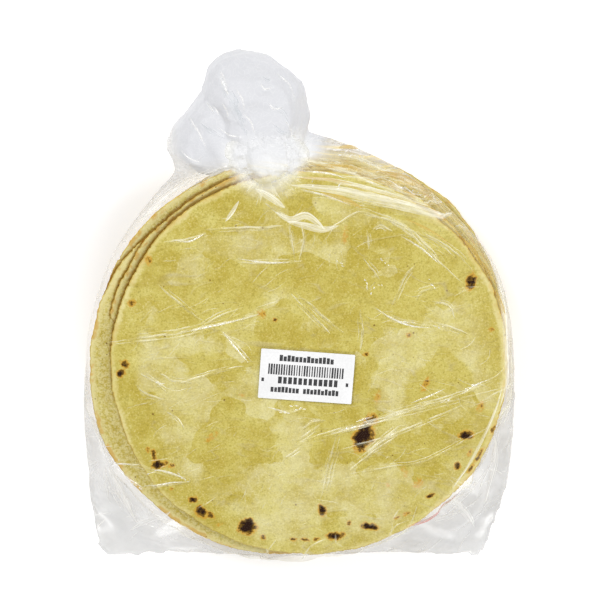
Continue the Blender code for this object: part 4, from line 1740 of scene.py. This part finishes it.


# Creases on the tail, in mm: half width, then the line; white ones, painted highlights, and grey ones,
# painted shade
TAIL_LIGHTS = (
    (1.6, (-44, 151), (-42, 146), (-40, 140)), (0.5, (-51, 135), (-49, 133), (-47, 130)),
    (0.5, (-48, 134), (-46, 132), (-45, 129)), (0.6, (-43, 136), (-41, 133), (-40, 129)),
    (0.5, (-56, 124), (-54, 119), (-51, 113)), (0.5, (-24, 146), (-22, 143), (-18, 144)),
    (0.6, (-20, 136), (-17, 133), (-13, 134)), (0.4, (-33, 131), (-29, 127), (-27, 121)),
    (0.4, (-64, 112), (-60, 108), (-54, 106)), (0.5, (-16, 150), (-10, 144), (-7, 137)),
    (0.4, (-46, 124), (-40, 120), (-33, 119)), (0.4, (-12, 128), (-9, 122), (-9, 116)),
    (0.5, (-36, 143), (-33, 138), (-32, 132)), (0.4, (-60, 128), (-57, 124), (-55, 121)),
)
TAIL_SHADES = (
    (3.0, (-43, 148), (-40, 141), (-36, 133), (-33, 126), (-31, 120)),
    (1.2, (-37, 137), (-35, 132), (-34, 127)), (1.3, (-23, 149), (-21, 147), (-19, 148)),
    (1.6, (-17, 135), (-13, 131), (-10, 126)), (1.0, (-18, 126), (-14, 122), (-10, 121)),
    (1.4, (-54, 126), (-48, 121), (-42, 118)),
)

# Lobes of the knot, crumpled finely: middle, half sizes
KNOT_LOBES = (
    ((-0.0310, 0.1100, 0.0410), (0.0140, 0.0100, 0.0095)),
    ((-0.0130, 0.1080, 0.0415), (0.0130, 0.0105, 0.0100)),
    ((-0.0215, 0.1150, 0.0425), (0.0150, 0.0095, 0.0095)),
)


def lobe_tree():
    """Geometry Nodes: a crumpled shell of film that fills a lobe of the tail."""
    tree, given, result = new_tree("crumpled_lobe", (
        ("Half sizes", VECTOR), ("Middle", VECTOR), ("Facet scale", FLOAT), ("Depth", FLOAT),
        ("Seed", FLOAT),
    ))
    ball = output_of(tree, "GeometryNodeMeshIcoSphere", {"Radius": 1.0, "Subdivisions": 6})
    shaped = output_of(
        tree, "GeometryNodeTransform",
        {"Geometry": ball, "Scale": given["Half sizes"], "Translation": given["Middle"]},
    )
    place = tree.nodes.new("GeometryNodeInputPosition").outputs[0]
    normal = tree.nodes.new("GeometryNodeInputNormal").outputs[0]
    shift = combine_node(tree, x=given["Seed"], z=given["Seed"])
    moved = vector_node(tree, "ADD", place, shift)
    swirl = add_node(tree, "ShaderNodeTexNoise", {"Vector": moved, "Scale": 60.0}).outputs["Color"]
    bend = scaled_vector(tree, swirl, 0.010)
    bent = vector_node(tree, "ADD", moved, bend)
    depth = 0.0
    for finer, share in ((1.0, 1.0), (2.4, 0.42), (5.5, 0.16)):
        scale = times(tree, given["Facet scale"], finer)
        facets = voronoi_node(tree, bent, scale, feature="DISTANCE_TO_EDGE")
        depth = times_plus(tree, facets, -share, depth)
    depth = times(tree, plus(tree, depth, 0.28), given["Depth"])
    push = scaled_vector(tree, normal, depth)
    crumpled = output_of(tree, "GeometryNodeSetPosition", {"Geometry": shaped, "Offset": push})
    finish_tree(tree, crumpled, given["Material"], result)
    return tree


def crease_material(film, name, low, high, roughness, colour=(0.93, 0.92, 0.88), run=160.0, lanes=1.0,
                    on_face=None):
    """Creased film in streaks along each strip, in the given colour: whiter than the film round it, partly
    as doubled film and partly as a painted highlight, or dark as a painted shade.

    Over the front tortilla it takes the colour on_face.
    """
    material, tree, shader, place = new_material(name)
    along, across = attribute_node(tree, "along"), attribute_node(tree, "across")
    strip = times(tree, attribute_node(tree, "half_width"), 20000.0)
    laid = combine_node(tree, times(tree, along, run), times(tree, across, lanes), strip)
    broken = noise_node(tree, laid, 1.0, detail=3.0, roughness=0.6)
    alpha = range_node(tree, broken, 0.36, 0.64, low, high)
    faded = times_plus(tree, across, -0.6, 1.0)
    reach = length_node(tree, flat_place(tree, place))
    outside = range_node(tree, reach, 0.104, 0.114)
    shown = mix_colour(tree, outside, with_alpha(on_face or colour), with_alpha(colour))
    set_inputs(tree, shader, {
        "Base Color": shown, "Alpha": times(tree, alpha, faded), "Roughness": roughness,
        "IOR": film.gloss, "Normal": bump_node(tree, noise_node(tree, place, 700.0), 0.3, 0.0004),
    })
    return material


def make_creases(film, surface):
    """The creases, the broad folds, the painted glints and the red streak, each kind as one piece."""
    tree = ribbon_tree()
    # Creases: whiter partly as doubled film and partly as a painted highlight
    creased = crease_material(film, "creased_film", 0.05, 0.60, 0.3, on_face=(0.92, 0.89, 0.66))
    shaded = crease_material(film, "crease_shade", 0.05, 0.50, 0.6, (0.33, 0.26, 0.05))
    folded = crease_material(
        film, "folded_film", 0.36, 0.92, 0.35, run=45.0, lanes=4.0, on_face=(0.95, 0.93, 0.78)
    )
    # Painted highlights for the glints and the bright creases
    bright = crease_material(film, "bright_crease", 0.3, 1.0, 0.1, (0.97, 0.97, 0.95), run=420.0)
    red = crease_material(film, "red_streak", 0.35, 0.85, 0.4, (0.62, 0.10, 0.09), run=60.0)
    gold = (0.60, 0.385, 0.035)
    golden = crease_material(film, "golden_strip", 0.45, 1.0, 0.4, gold, run=70.0, lanes=4.0)
    return (
        make_ribbons("red_streak", tree, table_lines(surface, RED_STREAKS), 0.9, 0.3, red),
        make_ribbons("golden_strips", tree, table_lines(surface, GOLDEN_STRIPS, 0.45), 0.7, 0.1, golden),
        make_ribbons("film_creases", tree, crease_lines(surface, 3), 0.45, 0.8, creased),
        make_ribbons("crease_shades", tree, shade_lines(surface), 0.6, 0.1, shaded),
        make_ribbons("film_folds", tree, fold_lines(surface), 0.6, 0.3, folded),
        make_ribbons("film_glints", tree, glint_lines(surface, 8), 1.0, 0.6, bright),
    )


def make_lobes(name, lobes, material, facet_scale, depth, fading=None):
    """Crumpled shells round the given middles, as one piece; fading gives where it fades out."""
    tree = lobe_tree()
    shape = bmesh.new()
    for index, (middle, half_sizes) in enumerate(lobes):
        lobe = new_mesh_object(name, [(0, 0, 0)], [])
        run_tree(lobe, tree, {
            "Half sizes": half_sizes, "Middle": middle, "Facet scale": facet_scale, "Depth": depth,
            "Seed": index + 5.9, "Material": material,
        })
        shape.from_mesh(lobe.data)
        remove_piece(lobe)
    piece = piece_from_shape(name, shape)
    points = points_of(piece.data)
    aside = np.hypot((points[:, 0] - KNOT.x) / 1.35, points[:, 1] - KNOT.y - 4 * MM)
    whole = 1 - smooth_step(*fading, aside) if fading else np.ones(len(points))
    store_values(piece.data, "gathered", whole)
    store_values(piece.data, "loose", np.ones(len(points)))
    store_values(piece.data, "knot", knot_share(points))
    piece.data.materials.append(material)
    piece.data.shade_smooth()
    return piece


def make_tail(film, surface):
    """The crumpled film in the tail, its knot, and the creases over it with their painted highlights and
    shade.
    """
    inner = film_material(film, "gathered_film", film.milk * 0.8, relief=0.4)
    knotted = film_material(film, "knotted_film", film.milk, relief=0.5)
    tree = ribbon_tree()
    # Painted highlights and painted shade along the tail's creases
    light = crease_material(film, "white_crease", 0.2, 1.0, 0.2, run=250.0)
    shade = crease_material(film, "grey_crease", 0.05, 0.45, 0.6, (0.46, 0.51, 0.54), run=120.0, lanes=3.0)
    return (
        make_lobes("tail_filling", TAIL_LOBES, inner, 57.0, 0.0059),
        make_lobes("film_knot", KNOT_LOBES, knotted, 150.0, 0.0032, (11 * MM, 18 * MM)),
        make_ribbons("tail_lights", tree, table_lines(surface, TAIL_LIGHTS), 0.8, 0.4, light),
        make_ribbons("tail_shades", tree, table_lines(surface, TAIL_SHADES), 0.8, 0.1, shade),
    )


def table_lines(surface, table, lift=0.1):
    lines = []
    for half_width, *corners in table:
        laid = laid_on(surface, smooth_line(corners, 0.7), lift * MM)
        if len(laid) > 3:
            lines.append((half_width * MM, laid))
    return lines


# ---------------------------------------------------------------------------------------------
# Label


def label_material(label):
    material, tree, shader, place = new_material("label_paper")
    fibre = noise_node(tree, place, 900.0, detail=3.0)
    cloud = noise_node(tree, place, 60.0, detail=1.0)
    shade = times_plus(tree, fibre, 0.05, times(tree, cloud, 0.04))
    grey = tuple(0.86 * channel for channel in label.paper)
    colour = mix_colour(
        tree, range_node(tree, shade, 0.02, 0.07), with_alpha(label.paper), with_alpha(grey)
    )
    bump = bump_node(tree, fibre, 0.1, 0.0002)
    set_inputs(tree, shader, {"Base Color": colour, "Roughness": 0.5, "Normal": bump})
    return material


def ink_material(label):
    material, tree, shader, place = new_material("label_ink")
    wear = range_node(tree, noise_node(tree, place, 1500.0, detail=2.0), 0.3, 0.75)
    faded = tuple(channel + 0.05 for channel in label.ink)
    colour = mix_colour(tree, wear, with_alpha(label.ink), with_alpha(faded))
    set_inputs(tree, shader, {"Base Color": colour, "Roughness": 0.6})
    return material


# Rows of marks on the label, in mm from its upper left corner: left, top, length, mark height,
# least height as a share, pitch, least and most width as a share of the pitch, share left out, seed
LABEL_ROWS = (
    (9.5, 2.4, 28.5, 3.5, 0.70, 2.0, 0.74, 0.84, 0.10, 3),
    (4.0, 7.6, 38.5, 5.6, 1.00, 1.30, 0.30, 0.82, 0.0, 5),
    (9.3, 14.1, 30.0, 3.7, 0.94, 2.6, 0.66, 0.76, 0.08, 4),
    (1.0, 15.3, 1.6, 1.9, 1.00, 1.6, 0.80, 0.90, 0.0, 1),
    (44.2, 15.3, 1.6, 1.9, 1.00, 1.6, 0.80, 0.90, 0.0, 2),
    (6.0, 19.2, 35.0, 3.3, 0.70, 1.85, 0.74, 0.84, 0.10, 9),
)
LABEL_TURN = math.radians(-4.2)
LABEL_SIZE = (48.0, 26.2)


def marks_tree():
    """Geometry Nodes: a row of plain upright marks of uneven width and height, some left out."""
    tree, given, result = new_tree("row_of_marks", (
        ("Length", FLOAT), ("Height", FLOAT), ("Least height", FLOAT), ("Pitch", FLOAT),
        ("Least width", FLOAT), ("Most width", FLOAT), ("Left out", FLOAT), ("Depth", FLOAT),
        ("Seed", "NodeSocketInt"),
    ))
    count = math_node(tree, "ROUND", math_node(tree, "DIVIDE", given["Length"], given["Pitch"]))
    step = combine_node(tree, given["Pitch"])
    line = output_of(tree, "GeometryNodeMeshLine", {"Count": count, "Offset": step})
    chance = add_node(
        tree, "FunctionNodeRandomValue",
        {"Probability": given["Left out"], "Seed": given["Seed"]}, data_type="BOOLEAN",
    ).outputs[3]
    kept = output_of(tree, "GeometryNodeDeleteGeometry", {"Geometry": line, "Selection": chance})
    width = add_node(
        tree, "FunctionNodeRandomValue",
        {2: given["Least width"], 3: given["Most width"], "Seed": given["Seed"]}, data_type="FLOAT",
    ).outputs[1]
    width = times(tree, width, given["Pitch"])
    share = add_node(
        tree, "FunctionNodeRandomValue",
        {2: given["Least height"], 3: 1.0, "Seed": plus(tree, given["Seed"], 9.0)},
        data_type="FLOAT",
    ).outputs[1]
    height = times(tree, share, given["Height"])
    rise = combine_node(tree, y=times(tree, height, 0.5))
    raised = output_of(tree, "GeometryNodeSetPosition", {"Geometry": kept, "Offset": rise})
    size = combine_node(tree, width, height, given["Depth"])
    block = output_of(tree, "GeometryNodeMeshCube")
    marks = output_of(
        tree, "GeometryNodeInstanceOnPoints", {"Points": raised, "Instance": block, "Scale": size}
    )
    finish_tree(tree, marks, given["Material"], result)
    return tree


def make_label_marks(label):
    tree = marks_tree()
    ink = ink_material(label)
    middle = (LABEL_LOW + LABEL_HIGH) / 2
    turn = Matrix.Rotation(LABEL_TURN, 4, "Z")
    corner = Vector((-LABEL_SIZE[0] / 2, LABEL_SIZE[1] / 2, 0.0)) * MM
    shape = bmesh.new()
    for left, top, length, height, least, pitch, narrow, wide, left_out, seed in LABEL_ROWS:
        row = new_mesh_object("label_marks", [(0, 0, 0)], [])
        run_tree(row, tree, {
            "Length": length * MM, "Height": height * MM, "Least height": least, "Pitch": pitch * MM,
            "Least width": narrow, "Most width": wide, "Left out": left_out, "Depth": 0.04 * MM,
            "Seed": seed, "Material": ink,
        })
        start = corner + Vector((left + pitch / 2, -top - height, 0.0)) * MM
        place = Matrix.Translation((middle.x, middle.y, LABEL_HIGH.z)) @ turn
        row.data.transform(place @ Matrix.Translation(start))
        shape.from_mesh(row.data)
        remove_piece(row)
    marks = piece_from_shape("label_marks", shape)
    marks.data.materials.append(ink)
    return marks


# ---------------------------------------------------------------------------------------------
# Stage


def add_area_light(name, place, aim, size, power):
    light = bpy.data.lights.new(name, "AREA")
    light.shape = "RECTANGLE"
    light.size, light.size_y = size
    light.energy = power
    lamp = bpy.data.objects.new(name, light)
    lamp.location = place
    lamp.rotation_euler = (Vector(place) - Vector(aim)).to_track_quat("Z", "Y").to_euler()
    bpy.context.scene.collection.objects.link(lamp)
    return lamp


class TORTILLA_OT_stage(bpy.types.Operator):
    """Add the floor, the lights and the camera"""

    bl_idname = "tortilla.stage"
    bl_label = "Stage"
    bl_options = {"REGISTER", "UNDO"}

    def execute(self, context):
        stage = context.scene.tortilla_stage
        middle = (CAD_LOW + CAD_HIGH) / 2
        half = 3.0
        floor = new_mesh_object(
            "floor", [(-half, -half, 0), (half, -half, 0), (half, half, 0), (-half, half, 0)],
            [(0, 1, 2, 3)],
        )
        set_points(floor.data, points_of(floor.data) - np.array([0, 0, 0.2 * MM]))
        material, tree, shader, _ = new_material("floor")
        set_inputs(tree, shader, {
            "Base Color": with_alpha(stage.floor), "Roughness": 0.9,
            "Emission Color": (1.0, 1.0, 1.0, 1.0), "Emission Strength": stage.glow,
        })
        floor.data.materials.append(material)

        world = bpy.data.worlds.new("studio")
        world.use_nodes = True
        sky = world.node_tree.nodes["Background"]
        set_inputs(world.node_tree, sky, {"Color": (1.0, 1.0, 1.0, 1.0), "Strength": stage.sky})
        context.scene.world = world
        add_area_light("key", (-0.45, 0.55, 0.75), middle, (0.40, 0.40), stage.key_power)
        add_area_light("fill", (0.75, 0.25, 0.65), middle, (0.30, 0.60), stage.key_power * 0.85)
        add_area_light("front", (0.05, -0.75, 0.85), middle, (0.60, 0.30), stage.key_power * 0.75)

        lens = bpy.data.cameras.new("camera")
        lens.lens = stage.lens
        lens.sensor_width = 36.0
        camera = bpy.data.objects.new("camera", lens)
        back = Vector((0.0, math.sin(stage.tilt), math.cos(stage.tilt)))
        aim = Vector((middle.x + 0.9 * MM, middle.y + 10.0 * MM, 22 * MM))
        camera.location = aim + back * stage.distance
        camera.rotation_euler = (-stage.tilt, 0.0, 0.0)
        context.scene.collection.objects.link(camera)
        context.scene.camera = camera
        context.scene.view_settings.view_transform = "Standard"
        return {"FINISHED"}


class TORTILLA_OT_upper_tortillas(bpy.types.Operator):
    """Make the front tortilla and the ones that show beside it"""

    bl_idname = "tortilla.upper_tortillas"
    bl_label = "Upper Tortillas"
    bl_options = {"REGISTER", "UNDO"}

    def execute(self, context):
        pile = context.scene.tortilla_pile
        for index in range(len(UPPER_TORTILLAS)):
            finish_piece(make_upper_tortilla(pile, index), "bag")
        return {"FINISHED"}


class TORTILLA_OT_lower_pile(bpy.types.Operator):
    """Make the rest of the pile"""

    bl_idname = "tortilla.lower_pile"
    bl_label = "Lower Pile"
    bl_options = {"REGISTER", "UNDO"}

    def execute(self, context):
        finish_piece(make_lower_pile(context.scene.tortilla_pile), "bag")
        return {"FINISHED"}


class TORTILLA_OT_film(bpy.types.Operator):
    """Make the clear film of the bag, with its creases and folds"""

    bl_idname = "tortilla.film"
    bl_label = "Film"
    bl_options = {"REGISTER", "UNDO"}

    def execute(self, context):
        film = context.scene.tortilla_film
        piece = make_film(film, context.scene.tortilla_pile)
        creases = make_creases(film, film_surface(piece.data))
        for part in (piece, *creases):
            make_shadowless(part)
            finish_piece(part, "bag")
        return {"FINISHED"}


class TORTILLA_OT_tail(bpy.types.Operator):
    """Make the knot and the crumpled film in the tail"""

    bl_idname = "tortilla.tail"
    bl_label = "Tail"
    bl_options = {"REGISTER", "UNDO"}

    def execute(self, context):
        surface = film_surface(bpy.data.objects["film"].data)
        for piece in make_tail(context.scene.tortilla_film, surface):
            make_shadowless(piece)
            finish_piece(piece, "bag")
        return {"FINISHED"}


class TORTILLA_OT_label(bpy.types.Operator):
    """Finish the paper label and print plain marks on it"""

    bl_idname = "tortilla.label"
    bl_label = "Label"
    bl_options = {"REGISTER", "UNDO"}

    def execute(self, context):
        label = context.scene.tortilla_label
        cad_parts["label"].material_slots[0].material = label_material(label)
        finish_piece(make_label_marks(label))
        return {"FINISHED"}


class TORTILLA_PT_panel(bpy.types.Panel):
    """Sidebar panel with the operators and their settings"""

    bl_label = "Bag of Tortillas"
    bl_idname = "TORTILLA_PT_panel"
    bl_space_type = "VIEW_3D"
    bl_region_type = "UI"
    bl_category = "Tortillas"

    def draw(self, context):
        for operator in OPERATORS:
            self.layout.operator(operator.bl_idname)
        for name in SETTINGS:
            box = self.layout.box()
            settings = getattr(context.scene, name)
            for key in settings.__annotations__:
                box.prop(settings, key)


OPERATORS = (
    TORTILLA_OT_stage, TORTILLA_OT_upper_tortillas, TORTILLA_OT_lower_pile, TORTILLA_OT_film,
    TORTILLA_OT_tail, TORTILLA_OT_label,
)
SETTINGS = {
    "tortilla_pile": PileSettings, "tortilla_film": FilmSettings,
    "tortilla_label": LabelSettings, "tortilla_stage": StageSettings,
}


def register():
    for kind in (*SETTINGS.values(), *OPERATORS, TORTILLA_PT_panel):
        bpy.utils.register_class(kind)
    for name, kind in SETTINGS.items():
        setattr(bpy.types.Scene, name, PointerProperty(type=kind))


def unregister():
    for name in SETTINGS:
        delattr(bpy.types.Scene, name)
    for kind in (TORTILLA_PT_panel, *reversed(OPERATORS), *SETTINGS.values()):
        bpy.utils.unregister_class(kind)


def main():
    register()
    for operator in OPERATORS:
        group, name = operator.bl_idname.split(".")
        getattr(getattr(bpy.ops, group), name)()


if __name__ == "__main__":
    main()
